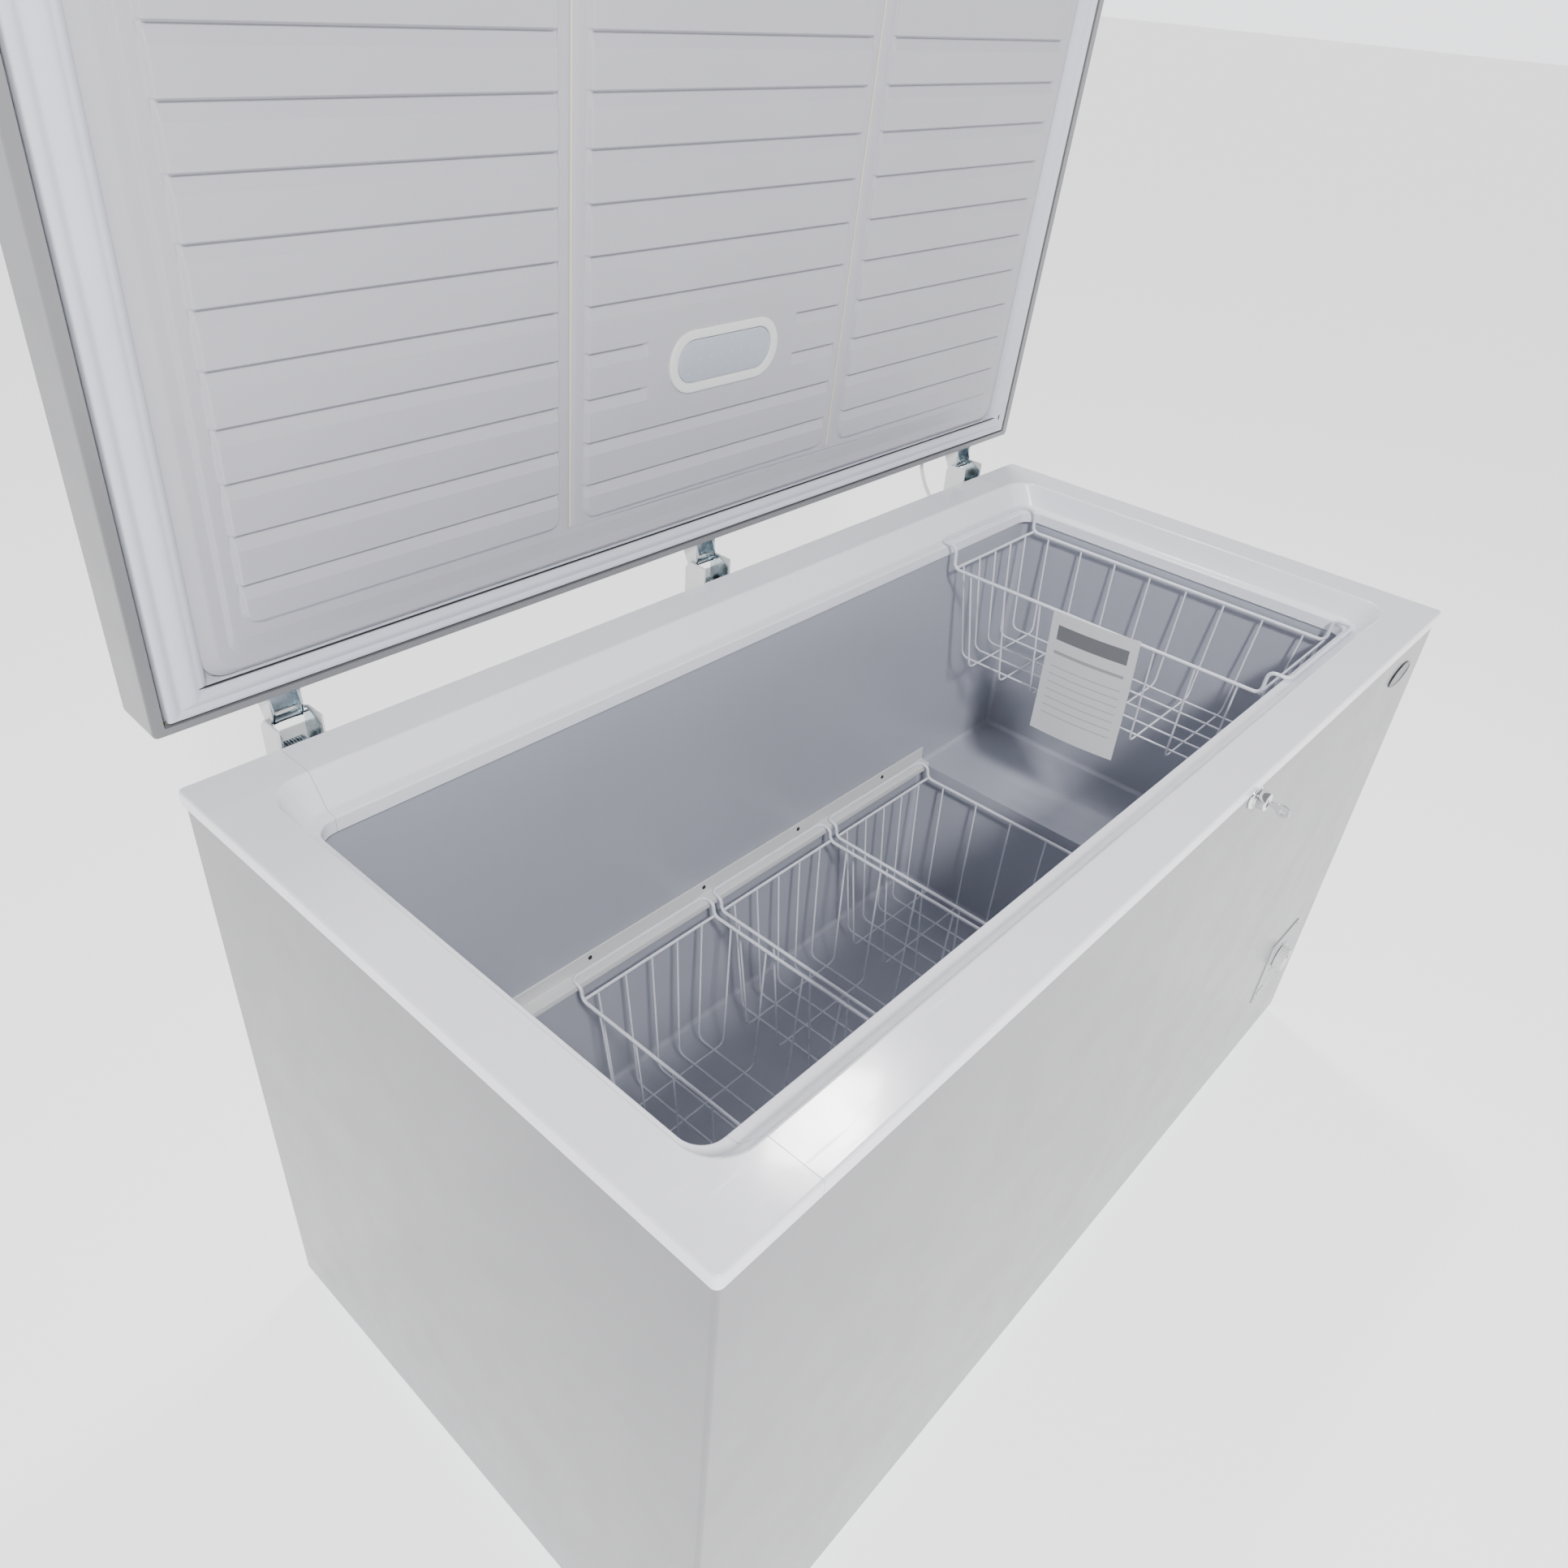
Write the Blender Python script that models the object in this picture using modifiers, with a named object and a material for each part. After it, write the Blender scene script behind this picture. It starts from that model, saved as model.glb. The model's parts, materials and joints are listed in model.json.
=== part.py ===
"""Chest freezer, 1.43 m wide, with its lid open: cabinet, tub, rim, hinges, baskets and machinery.

Metres, +Z up, front facing -Y. The lid is drawn closed and swung open on its hinge empty.
"""

import math

import bmesh
import bpy
from mathutils import Matrix, Vector

# Driving dimensions of the cabinet
WIDTH = 1.430
DEPTH = 0.715
RIM_TOP = 0.780
CENTRE_Y = -0.025  # puts the middle of the open freezer's depth over the origin
TOUCH = 0.0003  # gap kept between pieces that touch

BASE_Z = 0.020
SHEET = 0.001
STEEL_X = WIDTH / 2 - 0.004
STEEL_Y = DEPTH / 2 - 0.004
STEEL_TOP = RIM_TOP - 0.0035

# Plastic rim
RIM_WALL = 0.0025
RIM_SKIRT = 0.015
RIM_FLAT = 0.055  # width of the rim's flat top
RIM_SLOPE = 0.0145  # how much further the front and rear slope inwards, down to the ledge
LEDGE_Z = RIM_TOP - 0.0325
LEDGE_IN = 0.0095
LIP_IN = 0.0235
LIP_Z = RIM_TOP - 0.051
SEAM_X = 0.611
RIM_CORNER = 0.038

# Food compartment
TUB_X = 0.640
TUB_Y = 0.269
TUB_FLOOR = 0.088
TUB_TOP = 0.740
STEP_X = 0.440
STEP_Z = 0.335
DRAIN_X = -0.50
DRAIN_Y = -0.15

# Machine compartment under the step
ROOM_X = 0.4845
ROOM_Z = 0.276

# Lid, drawn closed
LID_X = 0.7155
LID_Y = DEPTH / 2 + 0.0001
LID_LOW = 0.7835
LID_HIGH = 0.848
LID_FLANGE = 0.016
PLUG_X = 0.600
PLUG_Y = 0.2796
PLUG_Z = 0.772
OPEN_ANGLE = 87
LAMP_Y = 0.110

# Hinges
HINGE_Y = 0.389
HINGE_Z = 0.792
HINGE_PLACES = (-0.584, 0.009, 0.602)
PIN_RADIUS = 0.003

# Baskets and rails
BASKET_PITCH = 0.258
BASKET_WIDTH = 0.250
BASKET_START = -0.342
BASKET_RING = 0.328
RAIL_TOP = 0.345
UPPER_LOW_X = 0.403
UPPER_HIGH_X = 0.630
UPPER_RING = 0.718
LEDGE_HOOK = 0.7482

# Front fittings
LOCK_X = 0.118
LOCK_Z = 0.749
KNOB_X = 0.585
KNOB_Z = 0.212


def clear_scene():
    for obj in list(bpy.data.objects):
        bpy.data.objects.remove(obj, do_unlink=True)


def collection(name, helper=False):
    made = bpy.data.collections.new(name)
    bpy.context.scene.collection.children.link(made)
    made.hide_render = helper
    return made


def material(name, colour, roughness=0.5, metallic=0.0):
    made = bpy.data.materials.new(name)
    made.use_nodes = True
    shader = made.node_tree.nodes["Principled BSDF"]
    shader.inputs["Base Color"].default_value = (*colour, 1)
    shader.inputs["Roughness"].default_value = roughness
    shader.inputs["Metallic"].default_value = metallic
    made.diffuse_color = (*colour, 1)
    return made


clear_scene()
PARTS = collection("chest_freezer")
CUTTERS = collection("cutters", helper=True)

PAINT = material("white_painted_steel", (0.62, 0.62, 0.62), 0.4)
ZINC = material("zinc_plated_steel", (0.55, 0.6, 0.64), 0.25, 1.0)
CHROME = material("chrome_plated", (0.75, 0.75, 0.76), 0.12, 1.0)
RIM_PLASTIC = material("white_rim_plastic", (0.8, 0.81, 0.84), 0.25)
COVER_PLASTIC = material("white_cover_plastic", (0.75, 0.75, 0.74), 0.4)
GREY_PLASTIC = material("grey_plastic", (0.45, 0.46, 0.47), 0.45)
DARK_PLASTIC = material("black_plastic", (0.02, 0.02, 0.02), 0.45)
TUB_METAL = material("coated_liner", (0.45, 0.48, 0.53), 0.35)
LINER_PLASTIC = material("lid_liner_plastic", (0.6, 0.6, 0.64), 0.4)
SEAL = material("soft_seal", (0.6, 0.62, 0.67), 0.5)
FOAM = material("rigid_foam", (0.8, 0.72, 0.45), 0.9)
LENS = material("frosted_lens", (0.75, 0.8, 0.85), 0.3)
WIRE = material("coated_wire", (0.75, 0.76, 0.8), 0.35)
COPPER = material("copper", (0.72, 0.4, 0.28), 0.35, 1.0)
BLACK_STEEL = material("black_enamel", (0.03, 0.03, 0.03), 0.4, 0.3)


def empty(name, place, turn=0.0, parent=None):
    made = bpy.data.objects.new(name, None)
    PARTS.objects.link(made)
    made.location = place
    made.rotation_euler = (turn, 0, 0)
    made.parent = parent
    return made


CABINET = empty("cabinet_frame", (0, CENTRE_Y, 0))
LID_HINGE = Vector((0, HINGE_Y, HINGE_Z))
LID = empty("lid_pivot", LID_HINGE, -math.radians(OPEN_ANGLE), CABINET)


def put(name, bm, finish, parent=CABINET, pivot=None):
    """Links a mesh drawn in cabinet coordinates. With a pivot, its origin goes to that point."""
    mesh = bpy.data.meshes.new(name)
    origin = Vector(pivot) if pivot else Vector((0, 0, 0))
    bmesh.ops.translate(bm, vec=-origin, verts=bm.verts)
    bm.to_mesh(mesh)
    bm.free()
    made = bpy.data.objects.new(name, mesh)
    PARTS.objects.link(made)
    mesh.materials.append(finish)
    made.parent = parent
    made.location = origin
    if parent is LID:
        made.location = origin - LID_HINGE
    return made


def cutter(name, bm, parent=CABINET):
    made = put(name, bm, DARK_PLASTIC, parent)
    PARTS.objects.unlink(made)
    CUTTERS.objects.link(made)
    made.hide_render = True
    made.display_type = "WIRE"
    return made


def boolean(obj, other, operation="DIFFERENCE"):
    modifier = obj.modifiers.new(operation.lower(), "BOOLEAN")
    modifier.object = other
    modifier.operation = operation
    modifier.solver = "EXACT"


def thicken(obj, thickness, side):
    """Side -1 grows against the face normals, +1 along them."""
    modifier = obj.modifiers.new("wall", "SOLIDIFY")
    modifier.thickness = thickness
    modifier.offset = side
    modifier.use_even_offset = True


def soften(obj, width, segments=2):
    modifier = obj.modifiers.new("edges", "BEVEL")
    modifier.width = width
    modifier.segments = segments
    modifier.limit_method = "ANGLE"
    modifier.harden_normals = False


def smooth(obj, angle=35):
    obj.data.shade_smooth()
    obj.data.set_sharp_from_angle(angle=math.radians(angle))


def box_mesh(low, high):
    bm = bmesh.new()
    bmesh.ops.create_cube(bm, size=1)
    low, high = Vector(low), Vector(high)
    bmesh.ops.scale(bm, vec=high - low, verts=bm.verts)
    bmesh.ops.translate(bm, vec=(low + high) / 2, verts=bm.verts)
    return bm


def open_box_mesh(low, high, open_sides):
    """A box without the faces that look along the given directions."""
    bm = box_mesh(low, high)
    gone = [f for f in bm.faces if any(f.normal.dot(Vector(side)) > 0.9 for side in open_sides)]
    bmesh.ops.delete(bm, geom=gone, context="FACES")
    return bm


def cylinder_mesh(centre, axis, radius, length, segments=20):
    bm = bmesh.new()
    bmesh.ops.create_cone(
        bm, cap_ends=True, segments=segments, radius1=radius, radius2=radius, depth=length
    )
    turn = Vector((0, 0, 1)).rotation_difference(Vector(axis)).to_matrix().to_4x4()
    bmesh.ops.transform(bm, matrix=Matrix.Translation(centre) @ turn, verts=bm.verts)
    return bm


def prism_mesh(outline, start, end, axis="X"):
    """An outline swept from start to end. Along X it is given in (y, z), along Y in (x, z), Z in (x, y)."""
    def place(a, b, along):
        return {"X": (along, a, b), "Y": (a, along, b), "Z": (a, b, along)}[axis]

    bm = bmesh.new()
    face = bm.faces.new([bm.verts.new(place(a, b, start)) for a, b in outline])
    grown = bmesh.ops.extrude_face_region(bm, geom=[face])["geom"]
    moved = [item for item in grown if isinstance(item, bmesh.types.BMVert)]
    bmesh.ops.translate(bm, vec=place(0, 0, end - start), verts=moved)
    bmesh.ops.recalc_face_normals(bm, faces=bm.faces)
    return bm


def strip_mesh(path, start, end, axis="X"):
    """An open line swept into a surface, for a folded sheet."""
    bm = bmesh.new()
    for (a, b), (c, d) in zip(path, path[1:]):
        corners = {
            "X": [(start, a, b), (start, c, d), (end, c, d), (end, a, b)],
            "Y": [(a, start, b), (c, start, d), (c, end, d), (a, end, b)],
            "Z": [(a, b, start), (c, d, start), (c, d, end), (a, b, end)],
        }[axis]
        bm.faces.new([bm.verts.new(corner) for corner in corners])
    bmesh.ops.remove_doubles(bm, verts=bm.verts, dist=1e-5)
    bmesh.ops.recalc_face_normals(bm, faces=bm.faces)
    return bm


def loft_mesh(rows, ring=False, cap_first=False, cap_last=False):
    """Quads between rows of equally many points, with flat caps where asked."""
    bm = bmesh.new()
    grid = [[bm.verts.new(point) for point in row] for row in rows]
    count = len(grid[0])
    for lower, upper in zip(grid, grid[1:]):
        for i in range(count if ring else count - 1):
            j = (i + 1) % count
            bm.faces.new((lower[i], lower[j], upper[j], upper[i]))
    if cap_first:
        bm.faces.new(list(reversed(grid[0])))
    if cap_last:
        bm.faces.new(grid[-1])
    return bm


def rounded_rectangle(half_x, half_y, radius, z, centre=(0, 0), segments=3):
    points = []
    for quarter, (sx, sy) in enumerate(((1, 1), (-1, 1), (-1, -1), (1, -1))):
        for step in range(segments + 1):
            angle = math.radians(90 * quarter + 90 * step / segments)
            x = centre[0] + sx * (half_x - radius) + radius * math.cos(angle)
            y = centre[1] + sy * (half_y - radius) + radius * math.sin(angle)
            points.append(Vector((x, y, z)))
    return points


def stadium_mesh(length, width, low, high, centre):
    rows = [
        rounded_rectangle(length / 2, width / 2, width / 2 - 1e-4, z, centre, 5) for z in (low, high)
    ]
    return loft_mesh(rows, ring=True, cap_first=True, cap_last=True)


def turned(name, profile, centre, axis, finish, parent=CABINET, steps=20):
    """A profile of (radius, height), top to bottom, turned about an axis through the centre."""
    mesh = bpy.data.meshes.new(name)
    points = [(radius, 0, height) for radius, height in profile]
    mesh.from_pydata(points, [(i, i + 1) for i in range(len(points) - 1)], [])
    mesh.materials.append(finish)
    made = bpy.data.objects.new(name, mesh)
    PARTS.objects.link(made)
    made.parent = parent
    made.location = centre
    made.rotation_euler = Vector((0, 0, 1)).rotation_difference(Vector(axis)).to_euler()
    screw = made.modifiers.new("turn", "SCREW")
    screw.steps = steps
    screw.render_steps = steps
    screw.use_merge_vertices = True
    screw.merge_threshold = 0.00005
    screw.use_smooth_shade = True
    return made


def tube(name, route, radius, finish, samples, resolution=2):
    """A round tube along a smooth curve through the route's points."""
    smooth_route = []
    ends = [2 * route[0] - route[1], *route, 2 * route[-1] - route[-2]]
    for a, b, c, d in zip(ends, ends[1:], ends[2:], ends[3:]):
        for step in range(samples):
            t = step / samples
            smooth_route.append(
                0.5 * (2 * b + (c - a) * t + (2 * a - 5 * b + 4 * c - d) * t**2
                       + (3 * b - a - 3 * c + d) * t**3)
            )
    smooth_route.append(route[-1])
    curve = bpy.data.curves.new(name, "CURVE")
    curve.dimensions = "3D"
    curve.bevel_depth = radius
    curve.bevel_resolution = resolution
    curve.use_fill_caps = True
    spline = curve.splines.new("POLY")
    spline.points.add(len(smooth_route) - 1)
    for point, place in zip(spline.points, smooth_route):
        point.co = (*place, 1)
    curve.materials.append(finish)
    made = bpy.data.objects.new(name, curve)
    PARTS.objects.link(made)
    made.parent = CABINET
    return made


# ---------------------------------------------------------------- cabinet shell


def outer_wrapper():
    """One painted sheet folded round the front and both sides."""
    path = [(-STEEL_X, STEEL_Y - 0.0015)]
    radius = 0.005
    for sx, start in ((-1, 180), (1, 270)):
        for step in range(4):
            angle = math.radians(start + 30 * step)
            path.append(
                (
                    sx * (STEEL_X - radius) + radius * math.cos(angle),
                    -STEEL_Y + radius + radius * math.sin(angle),
                )
            )
    path.append((STEEL_X, STEEL_Y - 0.0015))
    bm = strip_mesh(path, BASE_Z + 0.0005, STEEL_TOP, "Z")
    front = max(bm.faces, key=lambda face: face.calc_area())
    if front.normal.y > 0:
        bmesh.ops.reverse_faces(bm, faces=bm.faces)
    wrapper = put("outer_wrapper", bm, PAINT)
    thicken(wrapper, SHEET, -1)
    opening = box_mesh((0.700, 0.020, 0.055), (0.720, 0.300, 0.245))
    boolean(wrapper, cutter("grille_opening", opening))
    panel = box_mesh((0.5345, -0.36, 0.1395), (0.6355, -0.34, 0.2605))
    boolean(wrapper, cutter("panel_opening", panel))


def rear_panel():
    low = (-STEEL_X + 0.0005, STEEL_Y - SHEET, BASE_Z + 0.0005)
    put("rear_panel", box_mesh(low, (STEEL_X - 0.0005, STEEL_Y, STEEL_TOP)), PAINT)


def base_plate():
    low = (-STEEL_X + 0.0025, -STEEL_Y + 0.003, BASE_Z)
    plate = put("base_plate", box_mesh(low, (ROOM_X - 0.0015, STEEL_Y - 0.003, BASE_Z + 0.0012)), ZINC)
    hole = cylinder_mesh((DRAIN_X, DRAIN_Y, BASE_Z), (0, 0, 1), 0.0106, 0.02, 16)
    boolean(plate, cutter("base_drain_hole", hole))


def insulation_foam():
    inset = SHEET + 0.0005
    rows = [
        rounded_rectangle(STEEL_X - inset, STEEL_Y - inset, 0.005, z)
        for z in (BASE_Z + 0.0015, RIM_TOP - 0.003)
    ]
    block = loft_mesh(rows, ring=True, cap_first=True, cap_last=True)
    foam = put("insulation_foam", block, FOAM)
    around = SHEET + TOUCH
    tub = prism_mesh(
        [
            (-TUB_X - around, RIM_TOP + 0.02),
            (-TUB_X - around, TUB_FLOOR - around),
            (STEP_X + around, TUB_FLOOR - around),
            (STEP_X + around, STEP_Z - around),
            (TUB_X + around, STEP_Z - around),
            (TUB_X + around, RIM_TOP + 0.02),
        ],
        -TUB_Y - around,
        TUB_Y + around,
        "Y",
    )
    boolean(foam, cutter("foam_tub_space", tub))
    out_x = WIDTH / 2 - RIM_FLAT + RIM_WALL + 0.0055
    out_y = DEPTH / 2 - RIM_FLAT + RIM_WALL + 0.0055
    rim = box_mesh((-out_x, -out_y, LEDGE_Z - 0.009), (out_x, out_y, RIM_TOP + 0.03))
    boolean(foam, cutter("foam_rim_space", rim))
    room = box_mesh((ROOM_X - 0.0008, -0.4, 0.0), (0.75, 0.4, ROOM_Z + 0.0008))
    boolean(foam, cutter("foam_machine_space", room))
    drain = cylinder_mesh((DRAIN_X, DRAIN_Y, 0.06), (0, 0, 1), 0.0106, 0.12, 16)
    boolean(foam, cutter("foam_drain_hole", drain))


def inner_liner():
    """A folded tub whose floor steps up over the machine compartment."""
    profile = [
        (-TUB_X, TUB_TOP),
        (-TUB_X, TUB_FLOOR),
        (STEP_X, TUB_FLOOR),
        (STEP_X, STEP_Z),
        (TUB_X, STEP_Z),
        (TUB_X, TUB_TOP),
    ]
    bm = prism_mesh(profile, -TUB_Y, TUB_Y, "Y")
    top = [face for face in bm.faces if face.normal.z > 0.9 and face.calc_center_median().z > 0.7]
    bmesh.ops.delete(bm, geom=top, context="FACES")
    liner = put("inner_liner", bm, TUB_METAL)
    thicken(liner, SHEET, 1)
    hole = cylinder_mesh((DRAIN_X, DRAIN_Y, TUB_FLOOR), (0, 0, 1), 0.0095, 0.02, 16)
    boolean(liner, cutter("liner_drain_hole", hole))


def machine_bulkhead():
    path = [(ROOM_X, BASE_Z + 0.003), (ROOM_X, ROOM_Z), (STEEL_X - 0.0025, ROOM_Z)]
    sheet = put("machine_bulkhead", strip_mesh(path, -STEEL_Y + 0.004, STEEL_Y - 0.004, "Y"), ZINC)
    thicken(sheet, 0.0008, 0)


def feet():
    profile = [(0, 0.0197), (0.016, 0.0197), (0.016, 0.009), (0.022, 0.007), (0.022, 0), (0, 0)]
    for side, x in (("left", -0.655), ("right", 0.655)):
        for end, y in (("front", -0.30), ("rear", 0.30)):
            turned(f"foot_{end}_{side}", profile, (x, y, 0), (0, 0, 1), DARK_PLASTIC, steps=16)


# ---------------------------------------------------------------- rim


RIM_PROFILE = (
    # inset at the ends, inset at the front and rear, height, corner radius
    (0.0, 0.0, RIM_TOP - RIM_SKIRT, 0.005),
    (0.0, 0.0, RIM_TOP - 0.003, 0.005),
    (0.003, 0.003, RIM_TOP, 0.0035),
    (RIM_FLAT - 0.0015, RIM_FLAT - 0.0015, RIM_TOP, RIM_CORNER + 0.0015),
    (RIM_FLAT + 0.001, RIM_FLAT + 0.0015, RIM_TOP - 0.002, RIM_CORNER),
    (RIM_FLAT + LEDGE_IN, RIM_FLAT + RIM_SLOPE + LEDGE_IN, LEDGE_Z, RIM_CORNER - 0.005),
    (RIM_FLAT + LIP_IN, RIM_FLAT + RIM_SLOPE + LIP_IN, LEDGE_Z - 0.002, RIM_CORNER - 0.014),
    (RIM_FLAT + LIP_IN, RIM_FLAT + RIM_SLOPE + LIP_IN, LIP_Z, RIM_CORNER - 0.014),
)


def face_up(bm):
    bm.normal_update()
    if sum(face.normal.z * face.calc_area() for face in bm.faces) < 0:
        bmesh.ops.reverse_faces(bm, faces=bm.faces)
    return bm


def rim_end(name, side):
    """A U-shaped moulding round one end, from seam to seam."""
    rows = []
    for inset_x, inset_y, z, radius in RIM_PROFILE:
        half_x = WIDTH / 2 - inset_x
        half_y = DEPTH / 2 - inset_y
        row = [Vector((side * (SEAM_X + TOUCH), -half_y, z))]
        for start, sy in ((270, -1), (0, 1)):
            for step in range(6):
                angle = math.radians(start + 18 * step)
                x = half_x - radius + radius * math.cos(angle)
                y = sy * (half_y - radius) + radius * math.sin(angle)
                row.append(Vector((side * x, y, z)))
        row.append(Vector((side * (SEAM_X + TOUCH), half_y, z)))
        rows.append(row)
    thicken(put(name, face_up(loft_mesh(rows)), RIM_PLASTIC), RIM_WALL, -1)


def rim_straight(name, side):
    path = [(side * (DEPTH / 2 - inset), z) for _, inset, z, _ in RIM_PROFILE]
    bm = face_up(strip_mesh(path, -SEAM_X, SEAM_X, "X"))
    thicken(put(name, bm, RIM_PLASTIC), RIM_WALL, -1)


# ---------------------------------------------------------------- lid


def ring_rows(rings, segments=3):
    return [rounded_rectangle(x, y, radius, z, (0, 0), segments) for x, y, z, radius in rings]


def lid_skin():
    rings = (
        (LID_X - LID_FLANGE, LID_Y - LID_FLANGE, LID_LOW, 0.002),
        (LID_X, LID_Y, LID_LOW, 0.006),
        (LID_X, LID_Y, LID_HIGH - 0.009, 0.006),
        (LID_X - 0.0025, LID_Y - 0.0025, LID_HIGH - 0.0026, 0.006),
        (LID_X - 0.009, LID_Y - 0.009, LID_HIGH, 0.006),
    )
    bm = face_up(loft_mesh(ring_rows(rings), ring=True, cap_last=True))
    skin = put("lid_skin", bm, PAINT, LID)
    thicken(skin, SHEET, -1)
    smooth(skin)


def lid_foam():
    rings = (
        (PLUG_X - 0.0045, PLUG_Y - 0.0045, PLUG_Z + 0.0021, 0.016),
        (PLUG_X - 0.004, PLUG_Y - 0.004, 0.7987, 0.016),
        (0.6980, 0.3400, 0.7990, 0.006),
        (LID_X - 0.012, LID_Y - 0.012, LID_HIGH - 0.0015, 0.006),
    )
    bm = loft_mesh(ring_rows(rings), ring=True, cap_first=True, cap_last=True)
    foam = put("lid_foam", bm, FOAM, LID)
    pocket = stadium_mesh(0.150, 0.050, PLUG_Z - 0.01, PLUG_Z + 0.014, (0, LAMP_Y))
    boolean(foam, cutter("lamp_pocket", pocket, LID))


def lid_liner():
    """Moulded panel: a flange over the seal, a border and the plug that hangs into the opening."""
    rings = (
        (0.6970, 0.3400, 0.7965, 0.010),
        (0.6610, 0.2990, 0.7965, 0.022),
        (0.6600, 0.2980, 0.7870, 0.022),
        (0.6120, 0.2900, 0.7870, 0.030),
        (0.6060, 0.2856, 0.7790, 0.026),
        (PLUG_X, PLUG_Y, PLUG_Z, 0.020),
    )
    bm = loft_mesh(ring_rows(rings, 4), ring=True, cap_last=True)
    bmesh.ops.reverse_faces(face_up(bm), faces=bm.faces)
    liner = put("lid_liner", bm, LINER_PLASTIC, LID)
    thicken(liner, 0.0015, -1)
    hole = stadium_mesh(0.136, 0.040, PLUG_Z - 0.005, PLUG_Z + 0.006, (0, LAMP_Y))
    boolean(liner, cutter("lamp_hole", hole, LID))


def lid_gasket():
    rings = (
        (0.6940, 0.3370, 0.7960, 0.010),
        (0.6940, 0.3370, 0.7822, 0.010),
        (0.6900, 0.3330, 0.7806, 0.010),
        (0.6680, 0.3060, 0.7806, 0.020),
        (0.6625, 0.3005, 0.7822, 0.022),
        (0.6625, 0.3005, 0.7960, 0.022),
        (0.6940, 0.3370, 0.7960, 0.010),
    )
    bm = loft_mesh(ring_rows(rings, 4), ring=True)
    bmesh.ops.remove_doubles(bm, verts=bm.verts, dist=1e-5)
    bmesh.ops.recalc_face_normals(bm, faces=bm.faces)
    put("lid_gasket", bm, SEAL, LID)


def lid_lamp():
    low, high = PLUG_Z - 0.0045, PLUG_Z - TOUCH
    bezel = put("lamp_bezel", stadium_mesh(0.180, 0.072, low, high, (0, LAMP_Y)), COVER_PLASTIC, LID)
    inside = stadium_mesh(0.155, 0.049, low - 0.01, high + 0.01, (0, LAMP_Y))
    boolean(bezel, cutter("bezel_opening", inside, LID))
    lens = stadium_mesh(0.154, 0.048, low + 0.001, high, (0, LAMP_Y))
    put("lamp_lens", lens, LENS, LID)


def lid_handle():
    face = -LID_Y - TOUCH
    outline = [
        (face, 0.836),
        (face, 0.806),
        (face - 0.014, 0.806),
        (face - 0.022, 0.796),
        (face - 0.028, 0.799),
        (face - 0.028, 0.816),
        (face - 0.014, 0.832),
    ]
    handle = put("lid_handle", prism_mesh(outline, -0.085, 0.085), COVER_PLASTIC, LID)
    soften(handle, 0.0015)


def lock():
    place = Vector((LOCK_X, -STEEL_Y, LOCK_Z))
    ring = [(0.0130, 0.0045), (0.0150, 0.0025), (0.0150, 0.0003), (0.0112, 0.0003), (0.0112, 0.0045)]
    turned("lock_escutcheon", [*ring, ring[0]], place, (0, -1, 0), CHROME)
    barrel = [(0, 0.0165), (0.0095, 0.0165), (0.0107, 0.0150), (0.0107, 0.0005), (0, 0.0005)]
    turned("lock_barrel", barrel, place, (0, -1, 0), CHROME)
    face = -STEEL_Y - 0.0168
    key = box_mesh((LOCK_X - 0.001, face - 0.024, LOCK_Z - 0.011), (LOCK_X + 0.001, face, LOCK_Z + 0.005))
    key_object = put("lock_key", key, CHROME, CABINET, place)
    soften(key_object, 0.0006, 1)
    front = -LID_Y - TOUCH
    outline = [
        (front, 0.800),
        (front, 0.786),
        (front - 0.0012, 0.785),
        (front - 0.0012, 0.7705),
        (front - 0.0046, 0.7705),
        (front - 0.0046, 0.797),
    ]
    put("lock_catch", prism_mesh(outline, LOCK_X - 0.014, LOCK_X + 0.014), CHROME, LID)


# ---------------------------------------------------------------- hinges


def at_hinge(outline):
    """Moves a side outline from the hinge axis to the cabinet."""
    return [(HINGE_Y + y, HINGE_Z + z) for y, z in outline]


def pin_hole(name, x, radius, parent):
    return cutter(name, cylinder_mesh((x, HINGE_Y, HINGE_Z), (1, 0, 0), radius, 0.08, 16), parent)


def cheek_pair(x, inner, outer, outline, parent, name):
    """Two matching side plates as helpers, to be joined to a piece."""
    made = []
    for side in (-1, 1):
        low, high = sorted((x + side * inner, x + side * outer))
        made.append(cutter(f"{name}_{side}", prism_mesh(outline, low, high), parent))
    return made


def hinge_bracket(name, x):
    back = box_mesh((x - 0.0220, STEEL_Y + 0.001, 0.650), (x + 0.0220, STEEL_Y + 0.003, 0.762))
    bracket = put(f"hinge_bracket_{name}", back, ZINC)
    ear = [
        (STEEL_Y + 0.002, 0.660),
        (STEEL_Y + 0.002, 0.7615),
        (DEPTH / 2 + 0.003, 0.7645),
        (DEPTH / 2 + 0.004, 0.786),
        (HINGE_Y - 0.010, 0.7960),
        (HINGE_Y + 0.0010, 0.7965),
        (HINGE_Y + 0.0042, 0.7935),
        (HINGE_Y + 0.0042, 0.740),
    ]
    for plate in cheek_pair(x, 0.0202, 0.0219, ear, CABINET, f"ear_{name}"):
        boolean(bracket, plate, "UNION")
    boolean(bracket, pin_hole(f"bracket_hole_{name}", x, PIN_RADIUS + TOUCH, CABINET))


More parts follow.
